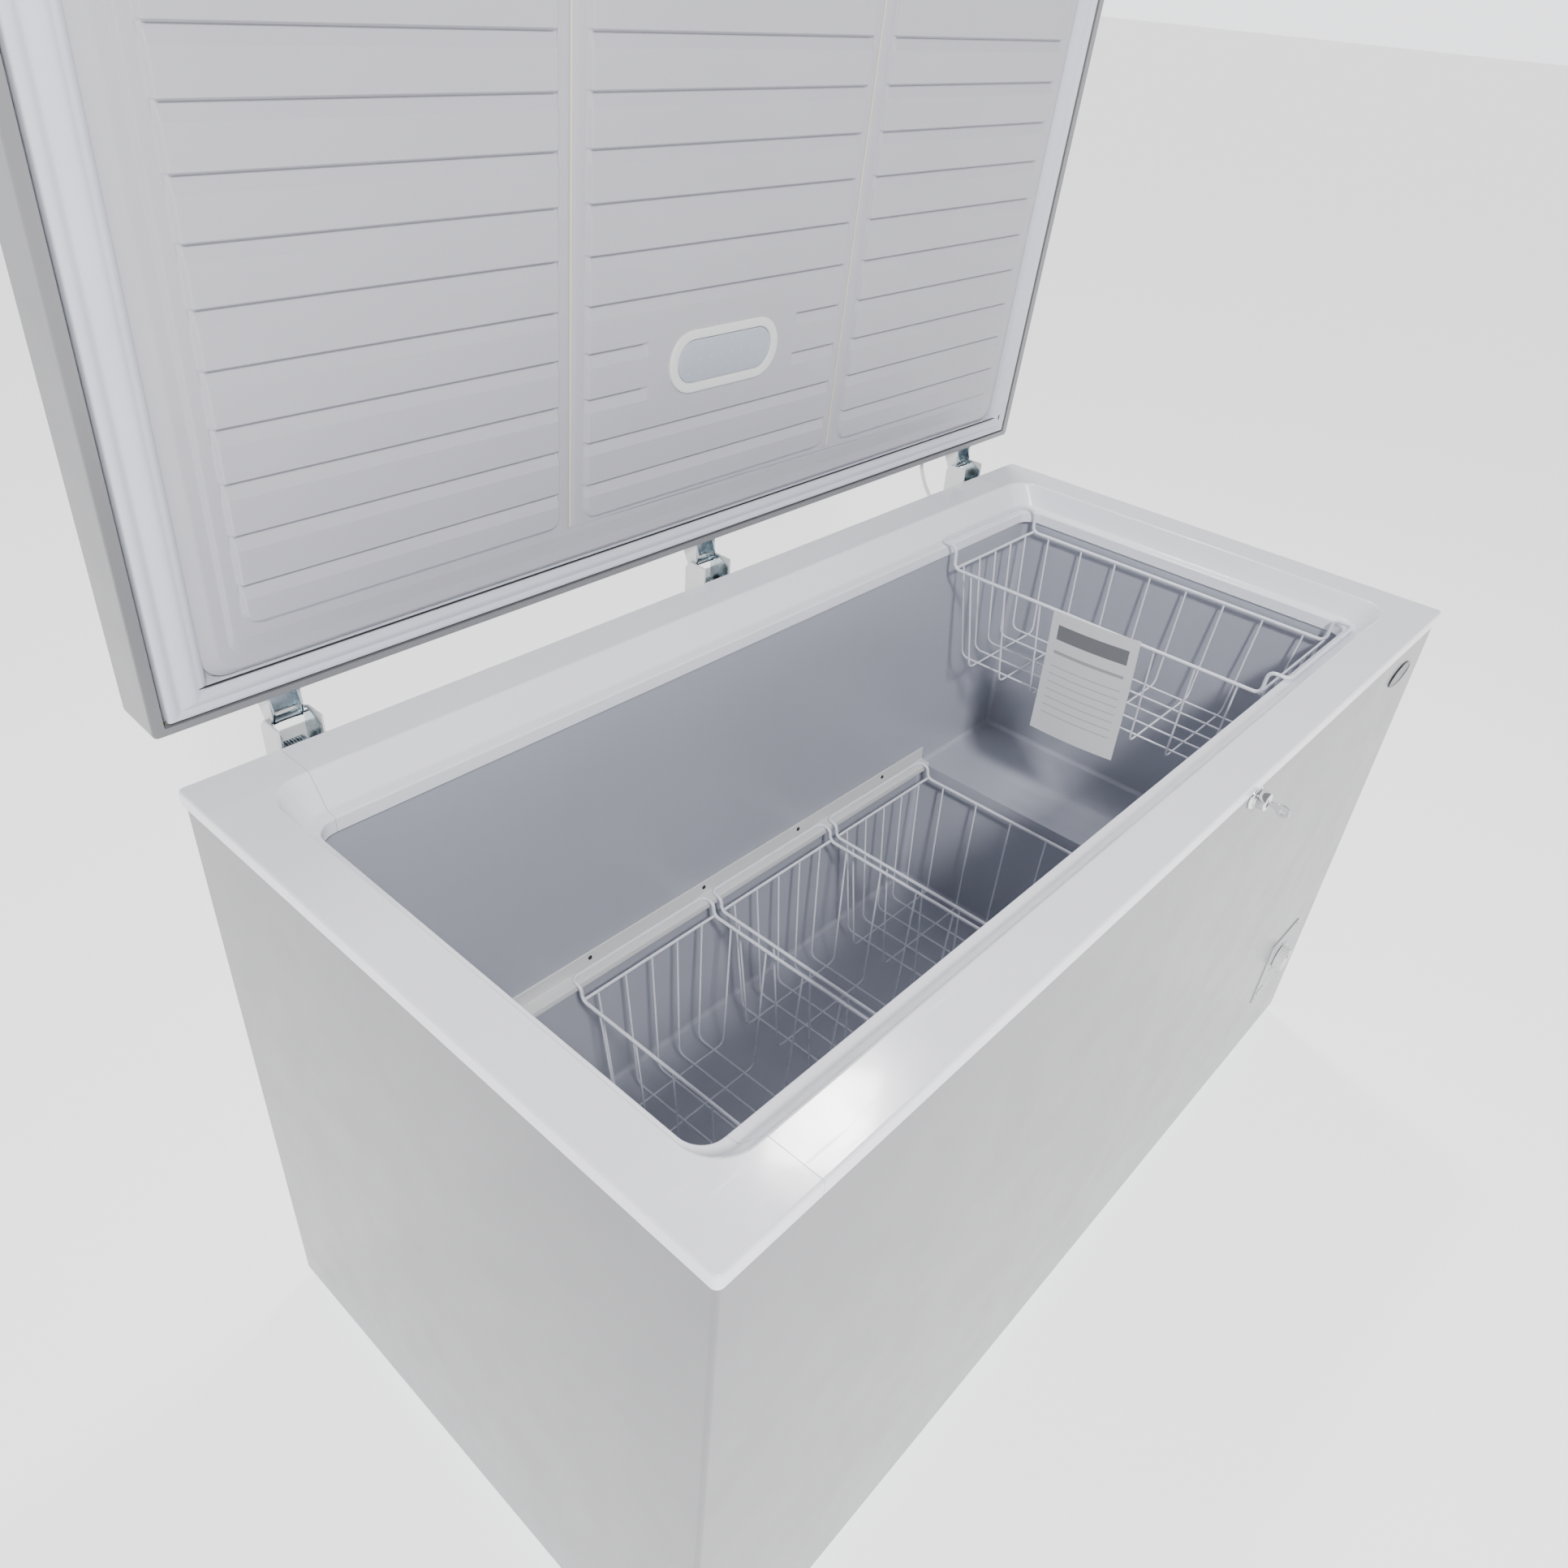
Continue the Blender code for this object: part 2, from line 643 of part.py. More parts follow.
def hinge_leaf(name, x):
    """Pressed channel: a plate on the lid's rear face, a web towards the pin and two arms."""
    near = -(HINGE_Y - LID_Y) + 0.0005
    plate = at_hinge([(near, 0.0), (near, 0.044), (near + 0.002, 0.044), (near + 0.002, 0.0)])
    leaf = put(f"hinge_leaf_{name}", prism_mesh(plate, x - 0.0161, x + 0.0161), ZINC, LID)
    web = at_hinge([(near + 0.001, 0.0055), (near + 0.001, 0.0075), (-0.006, 0.0075), (-0.006, 0.0055)])
    boolean(leaf, cutter(f"web_{name}", prism_mesh(web, x - 0.0159, x + 0.0159), LID), "UNION")
    arm = at_hinge(
        [
            (near + 0.0005, 0.0005),
            (near + 0.0005, 0.0435),
            (-0.0265, 0.0435),
            (-0.0195, 0.024),
            (-0.017, 0.015),
            (0.0015, 0.0052),
            (0.0046, 0.0),
            (0.0025, -0.0043),
            (-0.012, -0.0075),
        ]
    )
    for side in cheek_pair(x, 0.0143, 0.0160, arm, LID, f"arm_{name}"):
        boolean(leaf, side, "UNION")
    boolean(leaf, pin_hole(f"leaf_hole_{name}", x, PIN_RADIUS + TOUCH, LID))


def hinge_pin(name, x):
    put(
        f"hinge_pin_{name}",
        cylinder_mesh((x, HINGE_Y, HINGE_Z), (1, 0, 0), PIN_RADIUS, 0.0444, 14),
        CHROME,
    )


def hinge_cover_lower(name, x):
    # The front edge stands back from the arc of the lid's rear corner.
    low = (x - 0.0250, DEPTH / 2 + 0.0032, 0.645)
    high = (x + 0.0250, HINGE_Y + 0.007, HINGE_Z + 0.005)
    bm = open_box_mesh(low, high, ((0, -1, 0), (0, 0, 1)))
    cover = put(f"hinge_cover_lower_{name}", bm, COVER_PLASTIC)
    thicken(cover, 0.0024, -1)
    # The rear wall ends below the sweep of the upper cover.
    gap = box_mesh((x - 0.0226, HINGE_Y, 0.774), (x + 0.0226, HINGE_Y + 0.02, HINGE_Z + 0.02))
    boolean(cover, cutter(f"cover_gap_{name}", gap))


def hinge_cover_upper(name, x):
    near = -(HINGE_Y - LID_Y) + 0.0005
    outside = at_hinge(
        [
            (near, -0.003),
            (near, 0.052),
            (-0.024, 0.050),
            (-0.016, 0.030),
            (-0.0135, 0.019),
            (0.003, 0.010),
            (0.006, 0.003),
            (-0.004, -0.005),
        ]
    )
    inside = at_hinge(
        [
            (-0.034, -0.012),
            (-0.034, 0.050),
            (-0.0255, 0.048),
            (-0.0175, 0.0285),
            (-0.015, 0.0172),
            (0.002, 0.0082),
            (0.009, 0.0045),
            (0.009, -0.012),
        ]
    )
    outer = prism_mesh(outside, x - 0.0180, x + 0.0180)
    cover = put(f"hinge_cover_upper_{name}", outer, COVER_PLASTIC, LID)
    hollow = cutter(f"cover_hollow_{name}", prism_mesh(inside, x - 0.0166, x + 0.0166), LID)
    boolean(cover, hollow)
    boolean(cover, pin_hole(f"cover_hole_{name}", x, PIN_RADIUS + 0.0005, LID))


def hinges():
    for name, x in zip(("left", "middle", "right"), HINGE_PLACES):
        hinge_bracket(name, x)
        hinge_leaf(name, x)
        hinge_pin(name, x)
        hinge_cover_lower(name, x)
        hinge_cover_upper(name, x)


def lamp_lead():
    """Cable of the lid lamp, from the lid's rear edge to the cabinet's back."""
    route = [
        (0.515, 0.405, 0.8236),
        (0.515, 0.405, 0.812),
        (0.517, 0.402, 0.795),
        (0.521, 0.394, 0.772),
        (0.526, 0.380, 0.750),
        (0.530, 0.366, 0.739),
        (0.531, STEEL_Y + 0.0005, 0.736),
    ]
    tube("lamp_lead", [Vector(point) for point in route], 0.003, COVER_PLASTIC, 3)


# ---------------------------------------------------------------- baskets and rails


def basket(name, low_x, high_x, ring, floor, half_y, taper, hook, pivot):
    """A tapered tub with a hook along its front and rear, standing in for the wire mesh."""
    wall = 0.0025
    middle = ((low_x + high_x) / 2, 0)
    half_x = (high_x - low_x) / 2 - wall
    rows = [
        rounded_rectangle(half_x - taper, half_y - taper, 0.012, floor, middle),
        rounded_rectangle(half_x, half_y, 0.012, ring, middle),
    ]
    bm = loft_mesh(rows, ring=True, cap_first=True)
    bm.normal_update()
    tub = put(name, bm, WIRE, CABINET, pivot)
    thicken(tub, wall, 1)
    reach, under = hook
    for side in (-1, 1):
        outline = [
            (side * (half_y + 0.0005), ring - 0.006),
            (side * (half_y + 0.0005), under + 0.0035),
            (side * reach, under + 0.0035),
            (side * reach, under),
            (side * (half_y + 0.0045), under),
            (side * (half_y + 0.0045), ring - 0.006),
        ]
        arm = prism_mesh(outline, low_x + 0.015, high_x - 0.015)
        boolean(tub, cutter(f"{name}_hook_{side}", arm), "UNION")


def baskets():
    for number in range(3):
        low = BASKET_START + BASKET_PITCH * number
        basket(
            f"lower_basket_{number + 1}",
            low,
            low + BASKET_WIDTH,
            BASKET_RING,
            0.115,
            0.238,
            0.018,
            (0.264, RAIL_TOP + 0.0005),
            (low + BASKET_WIDTH / 2, 0, BASKET_RING),
        )
    basket(
        "upper_basket",
        UPPER_LOW_X,
        UPPER_HIGH_X,
        UPPER_RING,
        0.557,
        0.2445,
        0.017,
        (0.275, LEDGE_HOOK),
        ((UPPER_LOW_X + UPPER_HIGH_X) / 2, 0, UPPER_RING),
    )


def basket_rail(name, side):
    near, far = TUB_Y - TOUCH, TUB_Y - 0.0145
    path = [
        (side * near, RAIL_TOP - 0.030),
        (side * near, RAIL_TOP),
        (side * far, RAIL_TOP),
        (side * far, RAIL_TOP - 0.008),
    ]
    bm = face_up(strip_mesh(path, -TUB_X + 0.002, STEP_X - 0.004, "X"))
    thicken(put(name, bm, COVER_PLASTIC), 0.0016, -1)


# ---------------------------------------------------------------- front fittings and machinery


def control_panel():
    low, high = (0.535, -STEEL_Y - 0.0015, 0.140), (0.635, -STEEL_Y + 0.004, 0.260)
    panel = put("control_panel", box_mesh(low, high), GREY_PLASTIC)
    soften(panel, 0.0012)
    shaft = cylinder_mesh((KNOB_X, -STEEL_Y, KNOB_Z), (0, 1, 0), 0.0045, 0.03, 14)
    boolean(panel, cutter("knob_shaft_hole", shaft))
    slot = box_mesh((0.5445, -0.37, 0.1515), (0.5665, -0.34, 0.1595))
    boolean(panel, cutter("indicator_slot", slot))
    face = -STEEL_Y - 0.0015
    lens = box_mesh((0.5450, face - 0.0006, 0.1520), (0.5660, face + 0.004, 0.1590))
    put("indicator_lens", lens, DARK_PLASTIC)
    knob = [
        (0, 0.0145),
        (0.0165, 0.0145),
        (0.0185, 0.0125),
        (0.0200, 0.0004),
        (0.0040, 0.0004),
        (0.0040, -0.012),
        (0, -0.012),
    ]
    turned("thermostat_knob", knob, (KNOB_X, face, KNOB_Z), (0, -1, 0), COVER_PLASTIC, steps=24)


def badge_plate():
    y = -STEEL_Y - TOUCH
    outline = [(-0.040, 0), (-0.024, 0.013), (0, 0.0155), (0.024, 0.013), (0.040, 0)]
    outline += [(x, -z) for x, z in reversed(outline[1:-1])]
    outline = [(0.615 + x, 0.715 + z) for x, z in outline]
    put("badge_plate", prism_mesh(outline, y - 0.0018, y, "Y"), ZINC)


def side_grille():
    low, high = (STEEL_X - 0.0025, 0.0205, 0.0555), (STEEL_X + 0.0015, 0.2995, 0.2445)
    grille = put("side_grille", box_mesh(low, high), COVER_PLASTIC)
    for row in range(9):
        z = 0.072 + 0.0185 * row
        slot = box_mesh((STEEL_X - 0.02, 0.040, z), (STEEL_X + 0.02, 0.280, z + 0.008))
        boolean(grille, cutter(f"grille_slot_{row}", slot))


def drain():
    pipe = [(0.0103, 0.0864), (0.0103, 0.012), (0.0083, 0.012), (0.0083, 0.0864), (0.0103, 0.0864)]
    turned("drain_tube", pipe, (DRAIN_X, DRAIN_Y, 0), (0, 0, 1), GREY_PLASTIC, steps=16)
    top = TUB_FLOOR + 0.0048
    plug = [(0, top), (0.013, top), (0.0145, top - 0.0015), (0.0145, TUB_FLOOR + TOUCH)]
    plug += [(0.0078, TUB_FLOOR + TOUCH), (0.0072, 0.066), (0, 0.066)]
    turned("drain_plug", plug, (DRAIN_X, DRAIN_Y, 0), (0, 0, 1), COVER_PLASTIC, steps=16)


def machinery():
    floor = BASE_Z
    low, high = (ROOM_X + 0.002, -STEEL_Y + 0.003, floor), (STEEL_X - 0.0025, STEEL_Y - 0.003, floor + 0.002)
    put("compressor_tray", box_mesh(low, high), ZINC)
    x, y = 0.600, 0.150
    can = [
        (0, 0.205),
        (0.030, 0.202),
        (0.058, 0.188),
        (0.072, 0.165),
        (0.074, 0.125),
        (0.080, 0.120),
        (0.074, 0.115),
        (0.073, 0.070),
        (0.060, 0.047),
        (0, 0.041),
    ]
    compressor = turned("compressor", can, (x, y, 0), (0, 0, 1), BLACK_STEEL, steps=20)
    stand = box_mesh((x - 0.055, y - 0.095, 0.036), (x + 0.055, y + 0.095, 0.043))
    boolean(compressor, cutter("compressor_stand", stand), "UNION")
    for sx in (-1, 1):
        for sy in (-1, 1):
            mount = cylinder_mesh((x + sx * 0.043, y + sy * 0.083, 0.0297), (0, 0, 1), 0.009, 0.0148, 10)
            boolean(compressor, cutter(f"rubber_mount_{sx}_{sy}", mount), "UNION")
    cover = box_mesh((x - 0.030, y - 0.112, 0.085), (x + 0.030, y - 0.0815, 0.145))
    soften(put("terminal_cover", cover, DARK_PLASTIC), 0.003, 1)
    tube(
        "refrigerant_tube",
        [
            Vector(point)
            for point in (
                (x, y, 0.2058),
                (x - 0.002, y, 0.222),
                (x - 0.030, y - 0.02, 0.240),
                (x - 0.060, y - 0.06, 0.236),
                (x - 0.075, y - 0.12, 0.205),
                (x - 0.075, y - 0.17, 0.160),
                (x - 0.055, y - 0.20, 0.1305),
                (x - 0.020, y - 0.205, 0.1253),
            )
        ],
        0.0035,
        COPPER,
        3,
    )
    drier = [
        (0, 0.060),
        (0.005, 0.058),
        (0.0105, 0.045),
        (0.0105, -0.045),
        (0.005, -0.058),
        (0, -0.060),
    ]
    turned("filter_drier", drier, (x + 0.0425, y - 0.2095, 0.1253), (1, 0, 0), COPPER, steps=14)


def cord_gland():
    profile = [
        (0, 0.012),
        (0.0045, 0.012),
        (0.0065, 0.010),
        (0.0085, 0.003),
        (0.0125, 0.0028),
        (0.0125, 0.0003),
        (0, 0.0003),
    ]
    turned("cord_gland", profile, (0.62, STEEL_Y, 0.075), (0, 1, 0), DARK_PLASTIC, steps=16)


outer_wrapper()
rear_panel()
base_plate()
insulation_foam()
inner_liner()
machine_bulkhead()
feet()
rim_end("rim_end_left", -1)
rim_end("rim_end_right", 1)
rim_straight("rim_front", -1)
rim_straight("rim_rear", 1)
lid_skin()
lid_foam()
lid_liner()
lid_gasket()
lid_lamp()
lid_handle()
lock()
hinges()
lamp_lead()
baskets()
basket_rail("basket_rail_rear", 1)
basket_rail("basket_rail_front", -1)
control_panel()
badge_plate()
side_grille()
drain()
machinery()
cord_gland()
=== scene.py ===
"""Looks of the chest freezer: fine plastic, steel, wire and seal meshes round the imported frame.

Metres, +Z up. Pieces are drawn in cabinet coordinates, whose y is 0 at the middle of the cabinet,
with the lid's pieces drawn closed. add() swings those open and moves everything to its place.
"""

import json
import math

import bmesh
import bpy
from mathutils import Matrix, Vector

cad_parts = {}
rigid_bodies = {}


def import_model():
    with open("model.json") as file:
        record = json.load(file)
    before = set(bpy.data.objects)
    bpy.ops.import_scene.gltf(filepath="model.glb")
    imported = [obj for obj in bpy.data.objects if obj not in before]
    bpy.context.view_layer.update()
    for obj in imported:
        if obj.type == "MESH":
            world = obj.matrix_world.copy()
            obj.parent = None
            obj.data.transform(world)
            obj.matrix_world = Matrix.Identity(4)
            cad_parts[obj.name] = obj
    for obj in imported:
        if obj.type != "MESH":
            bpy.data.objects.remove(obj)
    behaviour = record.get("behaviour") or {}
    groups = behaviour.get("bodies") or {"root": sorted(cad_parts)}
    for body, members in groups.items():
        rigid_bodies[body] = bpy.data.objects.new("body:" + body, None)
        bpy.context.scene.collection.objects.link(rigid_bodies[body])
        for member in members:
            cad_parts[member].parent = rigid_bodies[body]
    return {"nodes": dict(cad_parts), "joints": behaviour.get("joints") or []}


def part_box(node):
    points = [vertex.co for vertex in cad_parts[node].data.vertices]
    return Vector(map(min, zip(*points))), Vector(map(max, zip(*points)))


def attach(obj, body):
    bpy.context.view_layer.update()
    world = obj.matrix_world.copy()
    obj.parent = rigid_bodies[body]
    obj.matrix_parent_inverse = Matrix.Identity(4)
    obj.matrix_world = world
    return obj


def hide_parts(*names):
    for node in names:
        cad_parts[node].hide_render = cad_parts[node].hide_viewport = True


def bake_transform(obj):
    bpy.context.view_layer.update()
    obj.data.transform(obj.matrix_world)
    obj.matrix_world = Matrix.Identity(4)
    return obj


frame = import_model()

bl_info = {
    "name": "Chest Freezer",
    "version": (1, 0, 0),
    "blender": (4, 5, 0),
    "location": "3D View > Sidebar > Freezer",
    "description": "Makes the fine pieces and finishes of a chest freezer round its frame",
    "category": "Object",
}

# ---------------------------------------------------------------- places taken from the frame

RIM_LOW, RIM_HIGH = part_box("rim_end_left")
HALF_X = -RIM_LOW.x
HALF_Y = (RIM_HIGH.y - RIM_LOW.y) / 2
MIDDLE_Y = (RIM_HIGH.y + RIM_LOW.y) / 2
RIM_TOP = RIM_HIGH.z
LID_JOINT = next(joint for joint in frame["joints"] if joint["name"] == "lid_hinge")
HINGE = Vector(LID_JOINT["pos_m"]) - Vector((0, MIDDLE_Y, 0))
OPEN_ANGLE = math.radians(87)
HOME = Matrix.Translation((0, MIDDLE_Y, 0))
SWING = (
    HOME
    @ Matrix.Translation(HINGE)
    @ Matrix.Rotation(-OPEN_ANGLE, 4, "X")
    @ Matrix.Translation(-HINGE)
)
HINGE_SIDES = ("left", "middle", "right")


def place_of(node):
    """The lowest and highest corners of a cabinet node, in cabinet coordinates."""
    low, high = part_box(node)
    shift = Vector((0, MIDDLE_Y, 0))
    return low - shift, high - shift


# ---------------------------------------------------------------- sizes and colours


def length(name, description, default):
    return bpy.props.FloatProperty(
        name=name, description=description, default=default, min=0, unit="LENGTH", precision=4
    )


def colour(name, description, default):
    return bpy.props.FloatVectorProperty(
        name=name, description=description, default=default, min=0, max=1, subtype="COLOR"
    )


class FreezerSizes(bpy.types.PropertyGroup):
    """Sizes that a user would change."""

    groove_pitch: length("Groove pitch", "Height of one board of the lid's panel", 0.0487)
    groove_depth: length("Groove depth", "Depth of the grooves between the boards", 0.0042)
    field_rise: length("Field rise", "How far the boards stand proud of their border", 0.0052)
    ring_wire: length("Ring wire", "Radius of the wire round a basket's top", 0.0026)
    grid_wire: length("Grid wire", "Radius of the wires of a basket's walls and floor", 0.0015)
    wire_bend: length("Wire bend", "Radius of a bend in a basket wire", 0.010)
    edge_radius: length("Rim edge", "Rounding of the rim's outer edge", 0.003)
    lead_radius: length("Lead radius", "Radius of the lamp's lead", 0.003)


class FreezerColours(bpy.types.PropertyGroup):
    """Colours that a user would change."""

    paint: colour("Paint", "Painted steel of the cabinet and the lid", (0.185, 0.185, 0.194))
    rim: colour("Rim", "Glossy plastic of the rim", (0.93, 0.93, 0.99))
    cover: colour("Covers", "White plastic of the hinge covers and rails", (0.70, 0.70, 0.70))
    liner: colour("Liner", "Coated sheet of the food compartment", (0.45, 0.465, 0.525))
    panel: colour("Lid panel", "Moulded inner panel of the lid", (0.42, 0.415, 0.455))
    seal: colour("Seal", "Soft seal round the lid", (0.58, 0.60, 0.665))
    wire: colour("Wire", "Plastic coating of the baskets", (0.80, 0.81, 0.88))
    zinc: colour("Zinc", "Plated steel of the hinges", (0.50, 0.58, 0.62))


# ---------------------------------------------------------------- materials


class Socket:
    """An output in a material's nodes. Arithmetic on it adds Math nodes."""

    def __init__(self, finish, output):
        self.finish = finish
        self.output = output

    def math(self, operation, first, second):
        inputs = {0: first, 1: second}
        return self.finish.node("ShaderNodeMath", {"operation": operation}, inputs)

    def __add__(self, other):
        return self.math("ADD", self, other)

    def __radd__(self, other):
        return self.math("ADD", other, self)

    def __sub__(self, other):
        return self.math("SUBTRACT", self, other)

    def __rsub__(self, other):
        return self.math("SUBTRACT", other, self)

    def __mul__(self, other):
        return self.math("MULTIPLY", self, other)

    def __rmul__(self, other):
        return self.math("MULTIPLY", other, self)

    def above(self, limit):
        return self.math("GREATER_THAN", self, limit)

    def below(self, limit):
        return self.math("LESS_THAN", self, limit)

    def fold(self, reach):
        """Runs up and down between 0 and the reach."""
        return self.math("PINGPONG", self, reach)


class Finish:
    """A material with a Principled shader, and one method that adds any other node."""

    def __init__(self, name):
        self.material = bpy.data.materials.new(name)
        self.material.use_nodes = True
        self.tree = self.material.node_tree
        self.shader = self.tree.nodes["Principled BSDF"]
        self.place = self.node("ShaderNodeTexCoord", output="Object")

    def node(self, kind, settings=None, inputs=None, output=0):
        made = self.tree.nodes.new(kind)
        for key, value in (settings or {}).items():
            setattr(made, key, value)
        for key, value in (inputs or {}).items():
            self.join(made.inputs[key], value)
        return Socket(self, made.outputs[output])

    def join(self, socket, value):
        if isinstance(value, Socket):
            self.tree.links.new(value.output, socket)
        else:
            socket.default_value = value

    def axes(self, vector):
        """The X, Y and Z parts of a vector."""
        split = self.node("ShaderNodeSeparateXYZ", None, {"Vector": vector}).output.node
        return [Socket(self, output) for output in split.outputs]

    def noise(self, scale, detail=2.0, stretch=None):
        place = self.place
        if stretch:
            place = self.node("ShaderNodeMapping", None, {"Vector": place, "Scale": stretch})
        inputs = {"Vector": place, "Scale": scale, "Detail": detail}
        return self.node("ShaderNodeTexNoise", None, inputs)

    def spread(self, value, low, high, to_low=0.0, to_high=1.0):
        inputs = {0: value, 1: low, 2: high, 3: to_low, 4: to_high}
        return self.node("ShaderNodeMapRange", None, inputs)

    def blend(self, factor, first, second):
        settings = {"data_type": "RGBA"}
        inputs = {0: factor, 6: (*first, 1), 7: (*second, 1)}
        return self.node("ShaderNodeMix", settings, inputs, 2)

    def bump(self, height, distance, strength=1.0):
        inputs = {"Strength": strength, "Distance": distance, "Height": height}
        self.join(self.shader.inputs["Normal"], self.node("ShaderNodeBump", None, inputs))

    def surface(self, **values):
        """Sets the shader's own sockets; a name's underscores stand for spaces."""
        for key, value in values.items():
            name = key.replace("_", " ").title().replace("Ior", "IOR")
            if isinstance(value, tuple) and len(value) == 3:
                value = (*value, 1)
            self.join(self.shader.inputs[name], value)
        return self.material


def shade(colour_value, factor):
    return tuple(min(1.0, part * factor) for part in colour_value)


def painted_steel(name, tone):
    finish = Finish(name)
    cloud = finish.noise(2.3, 3.0)
    peel = finish.noise(620.0, 2.0)
    haze = finish.noise(17.0, 4.0)
    base = finish.blend(finish.spread(cloud, 0.3, 0.7), shade(tone, 0.985), shade(tone, 1.015))
    finish.bump(finish.noise(2.0, 1.0) + peel * 0.02, 0.0004, 0.2)
    return finish.surface(
        base_color=base,
        roughness=finish.spread(haze, 0.3, 0.7, 0.28, 0.34),
        coat_weight=0.25,
        coat_roughness=0.18,
    )


def moulded_plastic(name, tone, smooth, grain=900.0, depth=0.00003, coat=0.0):
    """Moulded plastic: a faint grain, slow changes of gloss and tone."""
    finish = Finish(name)
    cloud = finish.noise(6.0, 3.0)
    fine = finish.noise(grain, 2.0)
    wear = finish.noise(45.0, 5.0)
    base = finish.blend(finish.spread(cloud, 0.3, 0.7), shade(tone, 0.975), shade(tone, 1.015))
    finish.bump(fine, depth, 0.4)
    return finish.surface(
        base_color=base,
        roughness=finish.spread(wear, 0.3, 0.75, smooth * 0.85, smooth * 1.2),
        coat_weight=coat,
        coat_roughness=0.08,
    )


def rim_plastic(name, tone):
    """Glossy rim: fine scratches run along each moulding."""
    finish = Finish(name)
    cloud = finish.noise(5.0, 3.0)
    swirl = finish.noise(150.0, 4.0, (0.06, 1.0, 1.0))
    scratch = finish.spread(swirl, 0.61, 0.66)
    base = finish.blend(finish.spread(cloud, 0.3, 0.7), shade(tone, 0.98), shade(tone, 1.01))
    finish.bump(finish.noise(240.0, 2.0) + scratch * -0.35, 0.00004, 0.25)
    return finish.surface(
        base_color=base,
        roughness=finish.spread(finish.noise(30.0, 4.0), 0.3, 0.7, 0.13, 0.2) + scratch * 0.08,
        coat_weight=0.3,
        coat_roughness=0.06,
    )


def coated_sheet(name, tone):
    """Satin coated sheet of the tub, with long faint draw marks and clouded gloss."""
    finish = Finish(name)
    cloud = finish.noise(4.0, 3.0)
    draw = finish.noise(60.0, 3.0, (1.0, 1.0, 0.06))
    base = finish.blend(
        finish.spread(cloud, 0.3, 0.7) * 0.7 + draw * 0.3, shade(tone, 0.97), shade(tone, 1.03)
    )
    finish.bump(finish.noise(3.0, 1.0) + draw * 0.04, 0.0005, 0.2)
    return finish.surface(
        base_color=base,
        roughness=finish.spread(finish.noise(9.0, 3.0), 0.3, 0.7, 0.29, 0.35),
        metallic=0.12,
    )


def plated(name, tone, smooth, mottle=0.3):
    """Plated steel with a cloudy passivation colour and fine rolling lines."""
    finish = Finish(name)
    cloud = finish.noise(55.0, 4.0)
    lines = finish.noise(900.0, 2.0, (1.0, 0.05, 1.0))
    factor = finish.spread(cloud, 0.35, 0.65)
    base = finish.blend(factor, shade(tone, 1 - mottle), shade(tone, 1 + mottle * 0.4))
    finish.bump(lines, 0.00003, 0.4)
    return finish.surface(
        base_color=base,
        roughness=finish.spread(cloud, 0.3, 0.7, smooth * 0.8, smooth * 1.35),
        metallic=1.0,
    )


def rubber(name, tone):
    finish = Finish(name)
    cloud = finish.noise(11.0, 4.0)
    fine = finish.noise(700.0, 3.0)
    base = finish.blend(finish.spread(cloud, 0.3, 0.7), shade(tone, 0.96), shade(tone, 1.02))
    finish.bump(fine, 0.00005, 0.5)
    return finish.surface(
        base_color=base,
        roughness=finish.spread(fine, 0.3, 0.7, 0.42, 0.55),
        sheen_weight=0.1,
    )


def foam(name, tone):
    finish = Finish(name)
    cells = finish.node(
        "ShaderNodeTexVoronoi", None, {"Vector": finish.place, "Scale": 900.0}, "Distance"
    )
    finish.bump(cells, 0.0004, 0.6)
    base = finish.blend(finish.noise(30.0, 3.0), shade(tone, 0.85), shade(tone, 1.05))
    return finish.surface(base_color=base, roughness=0.9)


def lens(name, tone):
    """Frosted cover: the board with its rows of light-emitting chips shows through faintly."""
    finish = Finish(name)
    across, _, up = finish.axes(finish.place)
    column = across.fold(0.0085)
    row = (up - 1.0).fold(0.008)
    dots = finish.spread(column, 0.0062, 0.0078) * finish.spread(row, 0.0052, 0.0072)
    frost = finish.noise(800.0, 3.0)
    base = finish.blend(dots * 0.55 + frost * 0.2, shade(tone, 0.93), shade(tone, 1.12))
    finish.bump(frost, 0.00005, 0.5)
    return finish.surface(
        base_color=base, roughness=finish.spread(frost, 0.3, 0.7, 0.28, 0.4), coat_weight=0.15
    )


def card_paper(name):
    """Blank card: a plain band at the head and a few rules, with no lettering."""
    finish = Finish(name)
    across, up, _ = finish.axes(finish.node("ShaderNodeUVMap", {"uv_map": "card"}))
    inside = across.above(0.09) * across.below(0.91)
    band = up.above(0.78) * up.below(0.90)
    bar = up.above(0.665) * up.below(0.69)
    rules = up.fold(0.033).above(0.0285)
    zone = up.below(0.61) * up.above(0.12)
    ink = inside * (band * 0.95 + bar * 0.6 + rules * zone * 0.42)
    fibre = finish.noise(900.0, 4.0)
    finish.bump(fibre, 0.00004, 0.4)
    base = finish.blend(ink, (0.80, 0.80, 0.815), (0.16, 0.165, 0.175))
    return finish.surface(base_color=base, roughness=finish.spread(fibre, 0.3, 0.7, 0.36, 0.5))


MATERIALS = {}


